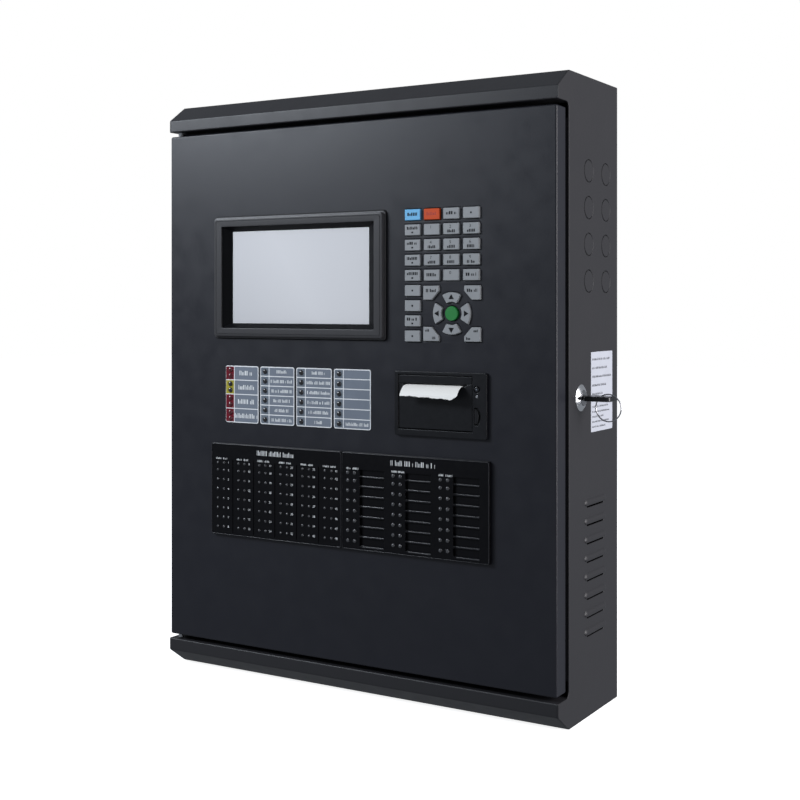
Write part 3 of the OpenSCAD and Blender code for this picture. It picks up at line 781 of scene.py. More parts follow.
STATUS_X = [-138.7, -97.3, -55.4, -13.2]
STATUS_W = [39.2, 39.5, 39.7, 39.9]
STATUS_TOP, STATUS_BOTTOM = 21.3, -33.2
STATUS_LED = 5.6
DISPLAY = (-54.2, 106)
PRINTER = (99, -7)
PANEL_MID, PANEL_W, PANEL_TOP, PANEL_BOTTOM = -3, 151, -53.5, -141.5
LED_ROWS = [-72] + [-79 - 9.07 * i for i in range(7)]
ZONE_X = [-145.9 + 24.95 * i for i in range(6)]
GROUP_X = [4 + 48 * i for i in range(3)]
LED_PAIR = 7.3
PANEL_FACE = 3.5


def status_rows(group):
    """The middle of each row of a status plate, from the top down."""
    count = 4 if group == 0 else 6
    step = (STATUS_TOP - STATUS_BOTTOM) / count
    return [STATUS_TOP - (i + 0.5) * step for i in range(count)], step


def status_leds(group):
    rows, _ = status_rows(group)
    pair = (3, -3) if group == 0 else (0,)
    return [(STATUS_X[group] + STATUS_LED, row + lift) for row in rows for lift in pair]


def panel_leds():
    return [(u + du, v) for u in ZONE_X + GROUP_X for du in (0, LED_PAIR) for v in LED_ROWS]


def make_door():
    door = Solids("door_powder_coat")
    bend = 1.6
    flat_u, flat_v = DOOR_HIGH.x - bend, DOOR_HIGH.z - bend
    middle_z = (PANEL_TOP + PANEL_BOTTOM) / 2
    holes = [rectangle(*DISPLAY, 183, 107, 2), rectangle(*PRINTER, 88, 53, 2)]
    holes += [rectangle(PANEL_MID + s * PANEL_W / 2, middle_z, 144, 81, 2) for s in (-1, 1)]
    holes += [key.outline(0.35) for key in KEYS]
    holes += [circle(u, v, 1.65, 20) for g in range(4) for u, v in status_leds(g)]
    edge = rectangle(0, 0, 2 * flat_u + 0.8, 2 * flat_v + 0.8, 0.7)
    door.plate(edge, holes, -SHEET, 0, 0.3)
    quarter = [math.pi / 2 * i / 6 for i in range(7)]
    fold = [(bend * math.sin(a), -bend + bend * math.cos(a)) for a in quarter]
    depth = DOOR_RETURN
    fold += [(bend, -depth + 0.3), (bend - 0.3, -depth), (1.3, -depth), (1, -depth + 0.3)]
    inner = bend - SHEET
    fold += [(inner * math.sin(a), -bend + inner * math.cos(a)) for a in reversed(quarter)]
    door.loop([(rectangle(0, 0, 2 * (flat_u + o), 2 * (flat_v + o), 0.3 + o), w) for o, w in fold])
    pin = corners("hinge_pins")
    hinge_x, hinge_y = (pin[0].x + pin[1].x) / 2, (pin[0].y + pin[1].y) / 2
    for side in (-1, 1):
        axle = basis((hinge_x, hinge_y, 0), X, Y * side, Z * side)
        top = DOOR_HIGH.z - 0.5
        door.loop([(circle(0, 0, r, 32), h) for r, h in
                     [(2.6, top - 13.5), (3.7, top - 13.5), (4, top - 13.2),
                      (4, top - 0.3), (3.7, top), (2.6, top)]], axle)
    studs = [(x, z) for x in (-153, 50, 145) for z in (44.5, 165.5)]
    studs += [(x, z) for x in (-143.5, 31.5) for z in (-34.5, 23.5)]
    for x, z in studs:
        door.lathe([(0, -SHEET + 0.2), (3.2, -SHEET + 0.2), (2.5, -SHEET - 0.8),
                    (2.5, FRONT - BOARD + 0.3), (2.2, FRONT - BOARD), (0, FRONT - BOARD)],
                   at(FACE, x, z), 20)
    keeper = fillet([(170, -1.4), (170, -2.9), (182, -2.9), (182, -57), (191, -57), (191, -55.5),
                     (183.5, -55.5), (183.5, -1.4)], 0.3, 2)
    door.prism(keeper, 10, 24, basis((0, FRONT, 0), X, -Y, Z))
    door.make("door_skin", "door", "door_panel")


# ---------------- display


def display_outline(w, h, r):
    return rectangle(*DISPLAY, w, h, r)


def make_display():
    bezel = Solids("bezel_plastic")
    profile = [
        (182, 106, 2, -10), (182, 106, 2, 0), (194.1, 115.6, 2.8, 0), (194.5, 116, 3, 0.3),
        (194.5, 116, 3, 1.6),
        (194.1, 115.6, 2.8, 2), (192.2, 113.7, 2.4, 2), (191.3, 112.8, 2.2, 2.3), (191.3, 112.8, 2.2, 4.2),
        (190.7, 112.2, 2, 4.8), (189.5, 111, 2, 5), (186.5, 108.5, 1.6, 5),
        (186, 108, 1.6, 4.6), (185.5, 107.5, 1.6, 5), (174, 98, 1, 5), (173.3, 97.3, 0.8, 4.8),
        (173, 97, 0.6, 4.4),
        (173, 97, 0.6, -1.9), (179, 103, 0.6, -1.9), (179, 103, 0.6, -10)]
    bezel.loop([(display_outline(w, h, r), z) for w, h, r, z in profile])
    # A thin black sheet a little larger than the bezel, under its edge: a painted shadow outlining the
    # bezel.
    bezel.paint("screen_surround")
    bezel.plate(display_outline(196, 117.5, 3.5), [display_outline(186, 110, 2)], 0.02, 0.6, 0.2)
    bezel.make("bezel_frame", "door", "display_bezel")
    surround = Solids("screen_surround")
    steps = [(172.9, 96.9, 0.6, 3.6), (172.4, 96.4, 0.6, 3.7), (155.6, 88.1, 0.3, -1.6),
             (155.2, 87.7, 0.3, -1.9), (155.2, 87.7, 0.3, -2.2), (172.9, 96.9, 0.6, -2.2)]
    surround.loop([(display_outline(w, h, r), z) for w, h, r, z in steps])
    surround.make("screen_mask", "door")
    screen = Solids("screen_glass")
    screen.plate(display_outline(154.2, 86.7, 0.4), [], -2.4, -1.82, 0.1)
    screen.paint("ink_white")
    screen.loop([(display_outline(w, h, 0.3), z) for w, h, z in
                   [(155.1, 87.6, -2), (155.1, 87.6, -1.8), (154.3, 86.8, -1.8), (154.3, 86.8, -2)]])
    screen.paint("chip_black")
    screen.plate(display_outline(177, 101, 1), [], -9.5, -2.4, 0.4)
    screen.plate(display_outline(120, 60, 1), [], -11, -9.45, 0.3)
    screen.make("screen_module", "door", "display_screen")


# ---------------- status plates and indicators

BADGES = ["overlay_red", "overlay_yellow", "overlay_red", "overlay_red"]
NAME_WIDTHS = [(13, 15, 16, 22), (11, 24, 22, 18, 15, 22), (14, 25, 24, 23, 21, 8), (0, 0, 0, 0, 0, 23)]


def make_status_plates():
    plates = Solids("overlay_white")
    film = 0.5
    line = 0.42
    for group in range(4):
        left, right = STATUS_X[group], STATUS_X[group] + STATUS_W[group]
        leds = status_leds(group)
        rows, step = status_rows(group)
        holes = [circle(u, v, 2, 20) for u, v in leds]
        plates.paint("overlay_white")
        plates.plate(span(left, STATUS_BOTTOM, right, STATUS_TOP, 2), holes, 0, film, 0.15)
        divide = left + 10.3
        for i, row in enumerate(rows):
            top = row + step / 2 - (0.9 if i == 0 else line)
            bottom = row - step / 2 + (0.9 if i == len(rows) - 1 else line)
            first, last = 1.3 * (i == 0), 1.3 * (i == len(rows) - 1)
            edge = 0.35 if group == 0 else 0.9
            lamp = [(left + edge, bottom), (divide - line, bottom), (divide - line, top), (left + edge, top)]
            name = [(divide + line, bottom), (right - 0.9, bottom), (right - 0.9, top), (divide + line, top)]
            own = [circle(u, v, 2.02, 20) for u, v in leds if abs(v - row) < step / 2]
            plates.paint(BADGES[i] if group == 0 else "overlay_shade")
            plates.plate(fillet(lamp, [last, 0, 0, first]), own, film - 0.05, film + 0.05, 0.02)
            plates.paint("overlay_film")
            plates.plate(fillet(name, [0, last, first, 0]), [], film - 0.05, film + 0.05, 0.02)
            width = NAME_WIDTHS[group][i] * (1.25 if group == 0 else 1.05)
            if width:
                plates.paint("ink_white")
                height = 4.4 if group == 0 else 3
                middle_u = (divide + right) / 2
                bars = word_bars(middle_u, row, width, height, group * 7 + i)
                plates.words(bars, film + 0.03, film + 0.09)
    plates.make("status_plates", "door", "status_overlays")


def led_dome(solids, u, v, radius, tip, steps, cap=None, seat=None):
    """A lamp on its board; cap is the radius of the lens cap that rests on the face at height seat."""
    back = FRONT - BOARD
    cap = cap or radius
    seat = tip - radius if seat is None else seat
    profile = [(0, back), (radius, back), (radius, seat), (cap, seat), (cap, seat + 0.05)]
    for i in range(1, 6):
        a = math.pi / 2 * i / 5
        profile.append((cap * math.cos(a), seat + 0.05 + (tip - seat) * math.sin(a)))
    solids.lathe(profile, at(FACE, u, v), steps)


def make_leds():
    lamps = Solids("led_dark")
    for group in range(4):
        for i, (u, v) in enumerate(status_leds(group)):
            lamps.paint("led_red" if group == 0 and i not in (2, 3) else "led_dark")
            led_dome(lamps, u, v, 1.5, 2, 20, 2.5, 0.56)
    lamps.paint("led_lens")
    for u, v in panel_leds():
        cap = 1.75 if u > PANEL_MID else 1.3
        led_dome(lamps, u, v, 1, 4.6, 14, cap, PANEL_FACE)
    lamps.make("indicator_lamps", "door", "indicator_leds")


# ---------------- indicator panels


def make_panel(centre, notches, openings):
    """An indicator panel: four plates with their openings, a raised rim painted paler as a highlight, and a
    rim and bosses behind.
    """
    middle_v = (PANEL_TOP + PANEL_BOTTOM) / 2
    size = (PANEL_W - 0.1, PANEL_TOP - PANEL_BOTTOM)
    leds = [circle(u, v, 1.15, 12) for u, v in panel_leds() if abs(u - centre) < PANEL_W / 2]
    panel = Solids("panel_plastic")
    panel.plate(rectangle(centre, middle_v, size[0], size[1], 1.5), leds, 0, 1, 0.2)
    panel.plate(rectangle(centre, middle_v, size[0] - 0.4, size[1] - 0.4, 1.5), leds + notches,
                0.98, 1.9, 0.1)
    panel.plate(rectangle(centre, middle_v, size[0] - 0.2, size[1] - 0.2, 1.5), leds + openings,
                1.88, 2.6, 0.1)
    panel.plate(rectangle(centre, middle_v, size[0], size[1], 1.5), leds + openings,
                2.58, PANEL_FACE, 0.4, FACE, 2)
    rim = [(143, 80, 0.1), (143, 80, -5.8), (142.6, 79.6, -6), (139.4, 76.4, -6), (139, 76, -5.8),
           (139, 76, 0.1)]
    panel.loop([(rectangle(centre, middle_v, w, h, 1.5), z) for w, h, z in rim])
    for su in (-1, 1):
        for sv in (-1, 1):
            boss = at(FACE, centre + su * 65.5, middle_v + sv * 38.8)
            panel.lathe([(0, 0.1), (1.4, 0.1), (1.4, FRONT - BOARD), (0, FRONT - BOARD)], boss, 16)
    # The raised rim round the face is painted paler than the panel: a painted highlight on its edge.
    panel.paint("panel_edge")
    rims = [rectangle(centre, middle_v, size[0] - g, size[1] - g, 1.4, 3) for g in (0.9, 2)]
    panel.plate(rims[0], [rims[1]], PANEL_FACE - 0.1, PANEL_FACE + 0.45, 0.2, FACE, 2)
    return panel


def header(panel, u, width, height, v, seed, weight=1.0):
    panel.words(word_bars(u, v, width, height, seed, weight), PANEL_FACE - 0.02, PANEL_FACE + 0.03)


def make_panels():
    left, right = PANEL_MID - PANEL_W / 2, PANEL_MID + PANEL_W / 2
    grooves = [span(u + 17.7, -139, u + 18.3, -69) for u in ZONE_X[:5]]
    zone = make_panel(left, [], grooves)
    zone.paint("ink_white")
    header(zone, left + 1, 43, 4.6, -60.5, 5, 0.65)
    for column, u in enumerate(ZONE_X):
        header(zone, u + 1, 6.5, 1.7, -68, 3 + column)
        header(zone, u + 9, 5.5, 1.7, -68, 9 + column)
        for row, v in enumerate(LED_ROWS):
            zone.text(str(column * 8 + row + 1), u + 12.6, v, 2.9, PANEL_FACE)
    zone.make("zone_face", "door", "zone_panel")
    pockets = [(u, v, v - (2.4 if v == LED_ROWS[0] else 4)) for u in GROUP_X for v in LED_ROWS]
    slots = [span(u + 12.5, low, u + 38.5, v + 3.2, 0.3) for u, v, low in pockets]
    notches = [span(u + 12.7, low + 0.2, u + 16.2, v + 3, 0.3) for u, v, low in pockets]
    equipment = make_panel(right, notches, slots)
    # The shelf under each pocket keeps the paler plastic: a painted highlight along the ridge.
    for u, _, low in pockets:
        shelf = span(u + 15.8, low - 1.2, u + 38.3, low, 0.3)
        equipment.plate(shelf, [], PANEL_FACE - 1, PANEL_FACE + 0.35, 0.3)
    equipment.paint("ink_white")
    header(equipment, right, 46, 4.6, -60.5, 8, 0.65)
    for column, u in enumerate(GROUP_X):
        header(equipment, u + 1, 5.5, 1.7, -68, 4 + column)
        header(equipment, u + 8.4, 6.5, 1.7, -68, 6 + column)
    equipment.make("equipment_face", "door", "equipment_panel")


# ---------------- printer

COVER_LOW, COVER_HIGH = corners("printer_cover")
LATCH_LOW, _ = corners("printer_latch")
COVER_LEFT, COVER_RIGHT = COVER_LOW.x - 0.3, COVER_HIGH.x + 0.3
COVER_FOOT = COVER_LOW.z - 0.3
FEED = (135.4, 7.3)
PAPER_MID, PAPER_W = 93, 57


def latch_outline(g, squeeze=1.0):
    """A D with its flat side to the left, made narrower by squeeze."""
    u, v, half = LATCH_LOW.x, middle("printer_latch").z, 7 + g
    radius = 9.5 + g
    reach = math.asin(half / radius)
    centre_u = u - 2.8
    arc = [(centre_u + radius * math.cos(reach * (i / 8 - 1)), v + radius * math.sin(reach * (i / 8 - 1)))
           for i in range(17)]
    points = [(133.3 - g, v - half)] + arc + [(133.3 - g, v + half)]
    outline = fillet(points, [0.8] + [0.0] * 17 + [0.8], 3)
    return [(u + (a - u) * squeeze, b) for a, b in outline]


def make_printer_frame():
    frame_part = Solids("printer_plastic")
    window = span(COVER_LEFT, COVER_FOOT, COVER_RIGHT, 18.4, 0.4)
    openings = [window, latch_outline(0.4), circle(*FEED, 2.8, 24),
                circle(FEED[0], FEED[1] - 6, 1.1, 16)]
    frame_part.plate(rectangle(*PRINTER, 92, 57, 1.8), openings, 0, 3, 0.6, FACE, 2)
    frame_part.plate(rectangle(*PRINTER, 87.4, 52.4, 1.5), openings, -4, 0.05, 0.3)
    bar = fillet([(57.4, 10.7), (63.5, 10.7), (65.5, 10.9), (122, 10.9), (126, 11.7), (130.6, 11.9),
                  (130.6, 17.9), (57.4, 17.9)], [0.4, 1, 1, 2, 2, 0.4, 0.4, 0.4], 3)
    frame_part.plate(bar, [], -1, 2.7, 0.4, FACE, 2)
    bay = [(76.6, 51.1, -0.2), (76.6, 51.1, -45.8), (76.2, 50.7, -46), (73, 47.5, -46), (73, 47.4, -44),
           (73, 47.4, -0.2)]
    centre = ((COVER_LEFT + COVER_RIGHT) / 2, (18.5 + COVER_FOOT - 3) / 2)
    frame_part.loop([(rectangle(*centre, w, h, 0.5), z) for w, h, z in bay])
    frame_part.box((centre[0] - 37, FRONT + 44.2, centre[1] - 24.2),
                   (centre[0] + 37, FRONT + 45.9, centre[1] + 24.2))
    for side in (-1, 1):
        hub = basis((PAPER_MID, -105, -12), Y, Z, X * side)
        reach = 37 + side
        frame_part.lathe([(0, PAPER_W / 2 - 5), (5.6, PAPER_W / 2 - 5), (5.9, PAPER_W / 2),
                          (5.9, PAPER_W / 2 + 0.6), (8, PAPER_W / 2 + 0.6), (8, reach),
                          (0, reach)], hub, 28)
    frame_part.make("printer_surround", "door", "printer_frame")


def make_printer_cover():
    cover = Solids("printer_plastic")
    left, right, foot = COVER_LOW.x + 0.1, COVER_HIGH.x - 0.1, COVER_LOW.z
    face = COVER_LOW.y - FRONT
    points = [(left, foot + 0.4), (right, foot + 0.4), (right, 11.2), (126.5, 10.9),
              (121.8, 8.5), (65, 8.5), (63, 10), (left, 10.1)]
    outline = fillet(points, [0.5, 0.5, 0.4, 3, 3, 1, 0.8, 0.4], 5)
    cover.plate(outline, [], -0.3, -face, 0.45, FACE, 2)
    hinge = basis((0, COVER_LOW.y + 1.25, foot + 1.25), Y, Z, X)
    cover.lathe([(0, left), (1, left), (1.2, left + 0.2), (1.2, right - 0.2),
                 (1, right), (0, right)], hinge, 20)
    platen = middle("platen_roller")
    for start in (-34, 31):
        arm = [(FRONT - 0.6, platen.z - 8), (platen.y + 3.5, platen.z - 8),
               (platen.y + 3.5, platen.z + 3.2), (FRONT - 0.6, platen.z + 3.2)]
        hole = circle(platen.y, platen.z, 2.06, 24)
        low = PAPER_MID + start
        cover.plate(fillet(arm, [0.5, 2, 2, 0.5]), [hole], low, low + 3, 0.3,
                    ACROSS)
    cover.make("printer_door", "printer_cover", "printer_cover")


def make_paper():
    """Paper that comes over the roller, out of the slot, and curls down to a torn edge."""
    platen = middle("platen_roller")
    reach, curl, thick = 4.65, 13, 0.16
    lip = FRONT - 0.5
    crest = platen.z + reach
    columns, rounds = 64, 26
    sheets = ([], [])
    for i in range(columns + 1):
        t = i / columns
        u = PAPER_MID - PAPER_W / 2 + PAPER_W * t
        tear = 0.018 * math.sin(t * 23) + 0.012 * math.sin(t * 57 + 1) + 0.01 * math.sin(t * 131)
        end = math.radians(74 + 10 * t ** 1.5) * (1 + 0.8 * tear)
        end *= 1 - 0.2 * max(0.0, (t - 0.86) / 0.14) ** 2.2
        path = [(math.pi / 2 * k / 6, 0) for k in range(7)] + [(math.pi / 2, k / 2) for k in (1, 2)]
        rows = []
        for turn, slide in path:
            y = platen.y + reach * math.cos(turn) + (lip - platen.y) * slide
            rows.append((y, platen.z + reach * math.sin(turn), math.cos(turn), math.sin(turn)))
        for k in range(1, rounds + 1):
            a = end * k / rounds
            wave = 0.25 * math.sin(t * 7 + 0.5) * (k / rounds) ** 2
            big = curl + wave
            sin, cos = math.sin(a), math.cos(a)
            rows.append((lip - big * sin, crest - curl + big * cos, -sin, cos))
        for side, sheet in enumerate(sheets):
            lift = thick * side
            sheet.append([SPACE @ Vector((u, y + ny * lift, z + nz * lift)) for y, z, ny, nz in rows])
    paper = Solids("thermal_paper")
    loops = [top + low[::-1] for top, low in zip(sheets[1], sheets[0])]
    paper.rings(loops)
    paper.make("paper_tongue", "printer_cover", "paper_strip", angle=60)


def make_printer_controls():
    latch = Solids("key_head")
    base = [(1.2, 1, -1.1), (1.2, 1, -0.15), (0, 1, -0.15), (0, 1, 0.6), (-0.2, 0.62, 0.9), (-0.2, 0.6, 2),
            (-0.5, 0.52, 2.4)]
    latch.layers([(latch_outline(g, squeeze), h) for g, squeeze, h in base])
    u, v = 133.3, middle("printer_latch").z
    rib = [(u + (1.7 + 2.1 * math.cos(a)), v + 6 * math.sin(a))
           for a in [math.radians(-80 + 16 * i) for i in range(11)]]
    rib += [(u + (1.5 + 1.2 * math.cos(a)), v + 5.6 * math.sin(a))
            for a in [math.radians(80 - 16 * i) for i in range(11)]]
    latch.prism(rib, 2, 2.95)
    latch.make("latch_button", "printer_latch", "printer_latch", bevel=0.25)
    button = Solids("key_head")
    place = at(FACE, *FEED)
    button.lathe([(0, -3.1), (1.2, -3.1), (1.2, -1), (2.4, -1),
                  (2.4, 0.95), (3.5, 0.95), (3.5, 1.3), (2.35, 1.3),
                  (2.3, 2.9), (2.1, 3.3), (1.6, 3.5)], place, 28)
    # The paler disc on the button's crown is a painted glint.
    button.paint("overlay_shade")
    button.lathe([(0, 3.4), (0.8, 3.4), (0.7, 3.6), (0, 3.7)], place, 20)
    button.make("feed_cap", "feed_button", "feed_button")
    light = Solids("led_dark")
    led_dome(light, FEED[0] - 0.6, FEED[1] - 5, 0.6, 3.2, 16)
    light.make("printer_light", "door")


# ---------------- lock and key


def capsule(u0, v0, r0, u1, v1, r1, steps=14):
    """The outline around two circles and the straight sides between them."""
    way = math.atan2(v1 - v0, u1 - u0)
    lean = math.acos((r0 - r1) / math.hypot(u1 - u0, v1 - v0))
    points = []
    for i in range(steps + 1):
        a = way + lean + (2 * math.pi - 2 * lean) * i / steps
        points.append((u0 + r0 * math.cos(a), v0 + r0 * math.sin(a)))
    for i in range(steps + 1):
        a = way - lean + 2 * lean * i / steps
        points.append((u1 + r1 * math.cos(a), v1 + r1 * math.sin(a)))
    return points


def make_lock():
    barrel = Solids("lock_chrome")
    plane = basis((HALF_W, LOCK.y, 0), Y, Z, X)
    bore, wall, face, dome = 6.6, 9.5, 11.5, 20.1
    profile = [(bore, -19), (wall, -19), (wall, 0), (face, 0), (face, 0.25)]
    for i in range(1, 9):
        r = face - (face - bore - 0.3) * i / 8
        profile.append((r, math.sqrt(dome ** 2 - r ** 2) - 16.3))
    profile.append((bore, profile[-1][1] - 0.3))
    barrel.loop([(circle(0, 0, r, 48), h) for r, h in profile], plane)
    barrel.paint("plated_steel")
    nut = circle(0, 0, 13, 6)
    barrel.plate(nut, [circle(0, 0, wall, 40)], -5.5, -1.5, 0.4, plane)
    barrel.make("lock_body", "cabinet", "lock_barrel")
    cam = Solids("ring_steel")
    slot = rectangle(0, 0, 8.4, 2.5, 0.3)
    cam.plate(circle(0, 0, 6.5, 40), [slot], -14, 3, 0.35, plane, 2)
    low = corners("lock_cam")[0].x - HALF_W
    cam.lathe([(0, low), (6.3, low), (6.45, low + 0.2), (6.45, -13.6), (0, -13.6)],
              plane, 32)
    cam.paint("plated_steel")
    cam.plate(capsule(0, 0, 7, -15.5, 0, 4.5), [], low + 2.9, low + 5.5, 0.5, plane)
    bolt = circle(0, 0, 5.8, 6)
    cam.plate(bolt, [], low, low + 3, 0.4, plane)
    cam.make("lock_plug", "lock", "lock_cam")


def make_key_and_ring():
    key = Solids("key_head")
    flat = basis((0, LOCK.y, 0), X, Y, Z)
    tip = corners("key")[1].x
    head = rectangle((HALF_W + 5 + tip) / 2, 0, tip - HALF_W - 5, 20, 4, 6)
    key.plate(head, [circle(tip - 13.3, 0, 3.8, 32)], -2.1, 2.1, 0.9, flat, 3)
    key.plate(span(HALF_W + 3.2, -5, HALF_W + 8, 5, 0.5), [], -1.9, 1.9,
              0.5, flat)
    key.paint("lock_chrome")
    start = HALF_W - 13.5
    blade = [(HALF_W + 5, -3.9), (HALF_W + 5, 3.9), (start + 1.5, 3.9)]
    blade.append((start, 2))
    cuts = (1.6, 2.6, 1.2, 2.2, 3.0)
    for i, cut in enumerate(cuts):
        at = start + (1.5 + 2.2 * i)
        blade += [(at - 0.5, -(3.9 - cut)), (at + 0.5, -(3.9 - cut))]
    key.plate(blade, [], -0.95, 0.95, 0.15, flat)
    key.make("lock_key", "lock", "key")
    ring = Solids("ring_steel")
    low, high = corners("key_ring")
    radius = 11.6
    centre = Vector(((low.x + high.x) / 2 + 0.1, LOCK.y, high.z - 0.7 - radius))
    pivot = Vector((tip - 13.3, LOCK.y, 0))
    turn = Matrix.Rotation(math.radians(-3), 4, "Z")
    turned = Matrix.Translation(pivot) @ turn @ Matrix.Translation(-pivot)
    rings = []
    steps = 144
    for i in range(steps + 1):
        t = i / steps
        a = 4 * math.pi * t + 0.6
        out = Vector((math.cos(a), 0, math.sin(a)))
        spot = centre + out * radius + Y * ((t - 0.5) * 1.1)
        rings.append([SPACE @ turned @ (spot + out * (0.5 * math.cos(b)) + Y * (0.46 * math.sin(b)))
                      for b in [math.pi / 4 * k for k in range(8)]])
    ring.rings(rings)
    ring.make("split_ring", "key_ring", "key_ring", angle=60)


# ---------------- inside the cabinet


def solder_side_parts(board, plane, low, high):
    """Small chips and joints scattered in rows over one board."""
    (u0, v0), (u1, v1) = low, high
    number = 7
    step = 12
    board.paint("chip_black")
    u = u0 + step / 2
    while u < u1:
        v = v0 + step / 2
        while v < v1:
            number = (number * 61 + 17) % 97
            if number % 3:
                w, h = (2 + number % 5), (1.5 + number % 4)
                board.prism(rectangle(u, v, w, h, 0.1, 1), 0, (0.6 + number % 3 * 0.4), plane)
            v += step
        u += step


def terminal_row(board, plane, u0, u1, v, top):
    """A row of screw terminals."""
    board.paint("terminal_green")
    board.plate(span(u0, v - 5, u1, v + 5, 0.5), [], 0, top, 0.4, plane)
    count = int((u1 - u0) / (5))
    for i in range(count):
        u = u0 + (i + 0.5) * (u1 - u0) / count
        board.paint("plated_steel")
        screw = at(plane, u, v + 1.5)
        board.lathe([(0, top - 0.5), (1.6, top - 0.5), (1.5, top + 0.35), (0, top + 0.4)],
                    screw, 12)
        board.paint("chip_black")
        board.prism(span(u - 1.2, v - 4, u + 1.2, v - 1.6), top - 0.2, top + 0.05, plane)
        board.prism(span(u - 1.2, v + 1.3, u + 1.2, v + 1.7), top, top + 0.5, plane)


def make_main_board():
    low, high = corners("main_board")
    front = high.y - 1.6
    plane = facing(front)
    board = Solids("circuit_board")
    terminal_top = 11.4
    holes = [circle(x, z, 1.6, 16) for x in (-145, -20, 50) for z in (22, 182)]
    board.plate(span(low.x, low.z, high.x, high.z, 2), holes, -1.6, 0, 0.2, plane)
    terminal_row(board, plane, -145, -13, 13, terminal_top)
    terminal_row(board, plane, 0, 52, 13, terminal_top)
    for i in range(7):
        left = -145 + 31 * i
        if left < 40:
            terminal_row(board, plane, left, min(left + 24, high.x), 193, terminal_top)
    for i in range(4):
        left = -138 + 26 * i
        board.paint("cap_blue")
        board.plate(span(left, 150, left + 19, 165, 1), [], 0, 15.4, 0.6, plane)
    chips = [(-35, 90, 30, 2.9), (-90, 70, 24, 2.4)]
    board.paint("chip_black")
    for u0, v0, w, top in chips:
        board.plate(span(u0, v0, u0 + w, v0 + w, 0.6), [], 0.6, top, 0.25, plane)
    board.paint("plated_steel")
    for i in range(24):
        for u0, v0, w, _ in chips:
            step = (w - 2) / 23
            for edge in (-0.7, w + 0.7):
                board.prism(rectangle((u0 + edge), (v0 + 1 + i * step), 1.6, 0.5), 0, 0.9, plane)
                board.prism(rectangle((u0 + 1 + i * step), (v0 + edge), 0.5, 1.6), 0, 0.9, plane)
    for u in (15, 35):
        for v in (60, 90):
            can = at(plane, u, v)
            board.paint("chip_black")
            board.lathe([(0, 0), (8, 0), (8, 18.6), (7.4, 19.2), (0, 19.2)], can, 28)
            board.paint("plated_steel")
            board.lathe([(0, 19.1), (6.6, 19.1), (6.5, 19.35), (0, 19.3)], can, 28)
    solder_side_parts(board, plane, (-140, 28), (5, 64))
    solder_side_parts(board, plane, (-60, 126), (50, 176))
    board.make("control_board", "cabinet", "main_board")


def make_power_supply():
    low, high = corners("power_supply")
    case = Solids("plated_steel")
    plane = facing(low.y)
    vents = [circle((78 + 16 * i), (40 + 14 * k), 4, 20) for i in range(4) for k in range(11)]
    case.plate(span(low.x, low.z, high.x, high.z, 1.5), vents, -1.5, 0, 0.35, plane)
    centre = ((low.x + high.x) / 2, (low.z + high.z) / 2)
    w, h, deep = high.x - low.x, high.z - low.z, high.y - low.y
    walls = [(0.3, -0.4), (0, -0.7), (0, -deep + 0.3), (0.3, -deep), (1.5, -deep), (1.5, -0.4)]
    case.loop([(rectangle(*centre, w - 2 * g, h - 2 * g, 1.2), z) for g, z in walls], plane)
    case.paint("circuit_board")
    case.box((low.x + 3, high.y - 6, low.z + 3), (high.x - 3, high.y - 4.4, high.z - 3))
    case.paint("label_paper")
    case.prism(span(low.x + 6, low.z + 2, low.x + 50, low.z + 13, 0.6), -0.02, 0.1,
               plane)
    case.paint("ink_dark")
    for i in range(3):
        case.words(word_bars(low.x + 28, low.z + 4.5 + 3 * i, 38, 1.3, i + 2), 0.08, 0.13, plane)
    case.make("supply_case", "cabinet", "power_supply")


BATTERY_WIDE, BATTERY_DEEP, BATTERY_TALL = 151, 65, 94


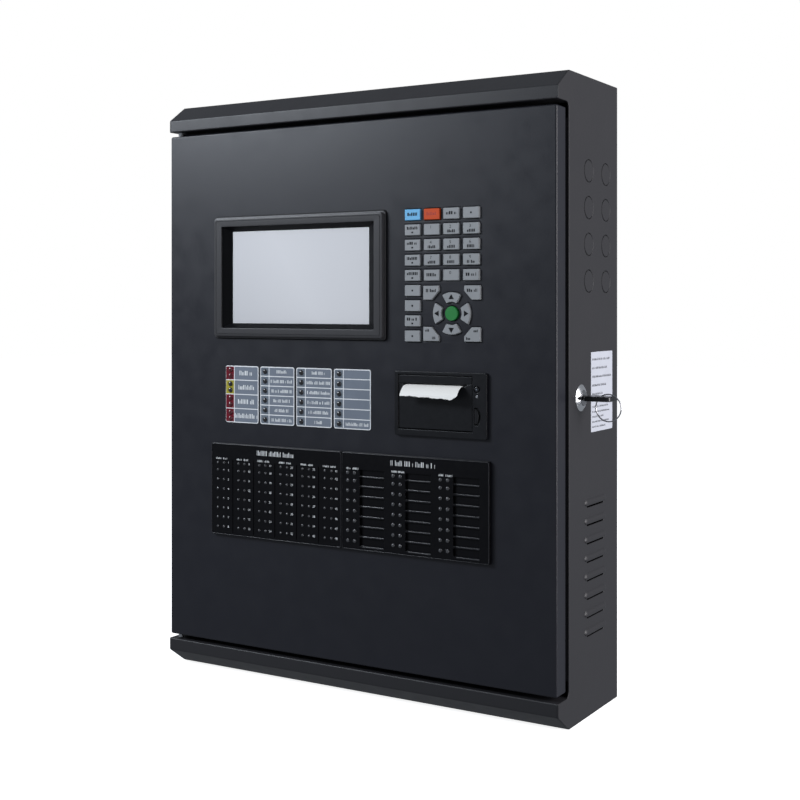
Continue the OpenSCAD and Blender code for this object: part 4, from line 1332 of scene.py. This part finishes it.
def make_batteries():
    low, _ = corners("batteries")
    case = Solids("battery_case")
    width, deep = BATTERY_WIDE, BATTERY_DEEP
    top = low.z + BATTERY_TALL
    for left in (low.x, 1.5):
        centre = (left + width / 2, low.y + deep / 2)
        flat = basis((0, 0, 0), X, Y, Z)
        case.paint("battery_case")
        shape = [(0.6, 0), (0, 0.6), (0, 71), (0, 71.5), (1.2, 72), (1.2, 73), (0, 73.5), (0, 93),
                 (0.5, 93.8), (1.5, BATTERY_TALL)]
        case.layers([(rectangle(*centre, width - 2 * g, deep - 2 * g, 2.5), low.z + z)
                     for g, z in shape], flat)
        for tab in (left + 12, left + width - 22):
            case.paint("plated_steel")
            case.box((tab, -50, top - 0.5), (tab + 10, -49.2, top + 5))
            case.paint("cap_red" if tab < left + width / 2 else "chip_black")
            case.box((tab - 1, -49.2, top - 0.2), (tab + 11, -44, top + 1.6))
        face = facing(low.y)
        case.paint("label_blue")
        case.prism(rectangle(centre[0], low.z + 38, 96, 46, 2), -0.02, 0.12, face)
        case.paint("ink_white")
        for row, size in enumerate((9, 4, 4, 3)):
            v = low.z + (53 - (0, 11, 18, 25)[row])
            case.words(word_bars(centre[0], v, (70, 80, 60, 76)[row], size, row + 4), 0.1, 0.16, face)
    case.make("battery_pair", "cabinet", "batteries")


def keep_cad_parts():
    """The CAD nodes that stay as they are: each with its look and the width of its softened edges."""
    for node, look, edge in (
            ("chassis_plate", "plated_steel", 0.3), ("hinge_pins", "plated_steel", 0.3),
            ("front_board", "circuit_board", 0.15), ("indicator_boards", "circuit_board", 0.2),
            ("printer_mechanism", "plated_steel", 0.2), ("platen_roller", "platen_rubber", 0.2),
            ("paper_roll", "thermal_paper", 0.15)):
        keep_node(node, look, edge)


def make_floor():
    half_size, thick = 6000, 20
    floor = Solids("floor")
    floor.box((-half_size, -half_size, -HALF_H - thick), (half_size, half_size, -HALF_H))
    obj = floor.make("floor", None, bevel=2)
    obj.visible_diffuse = False
    obj.visible_glossy = False


make_camera()
make_studio()
make_floor()
make_cabinet()
make_door()
for key in KEYS:
    make_key(key)
make_display()
make_status_plates()
make_leds()
make_panels()
make_printer_frame()
make_printer_cover()
make_paper()
make_printer_controls()
make_lock()
make_key_and_ring()
make_main_board()
make_power_supply()
make_batteries()
keep_cad_parts()
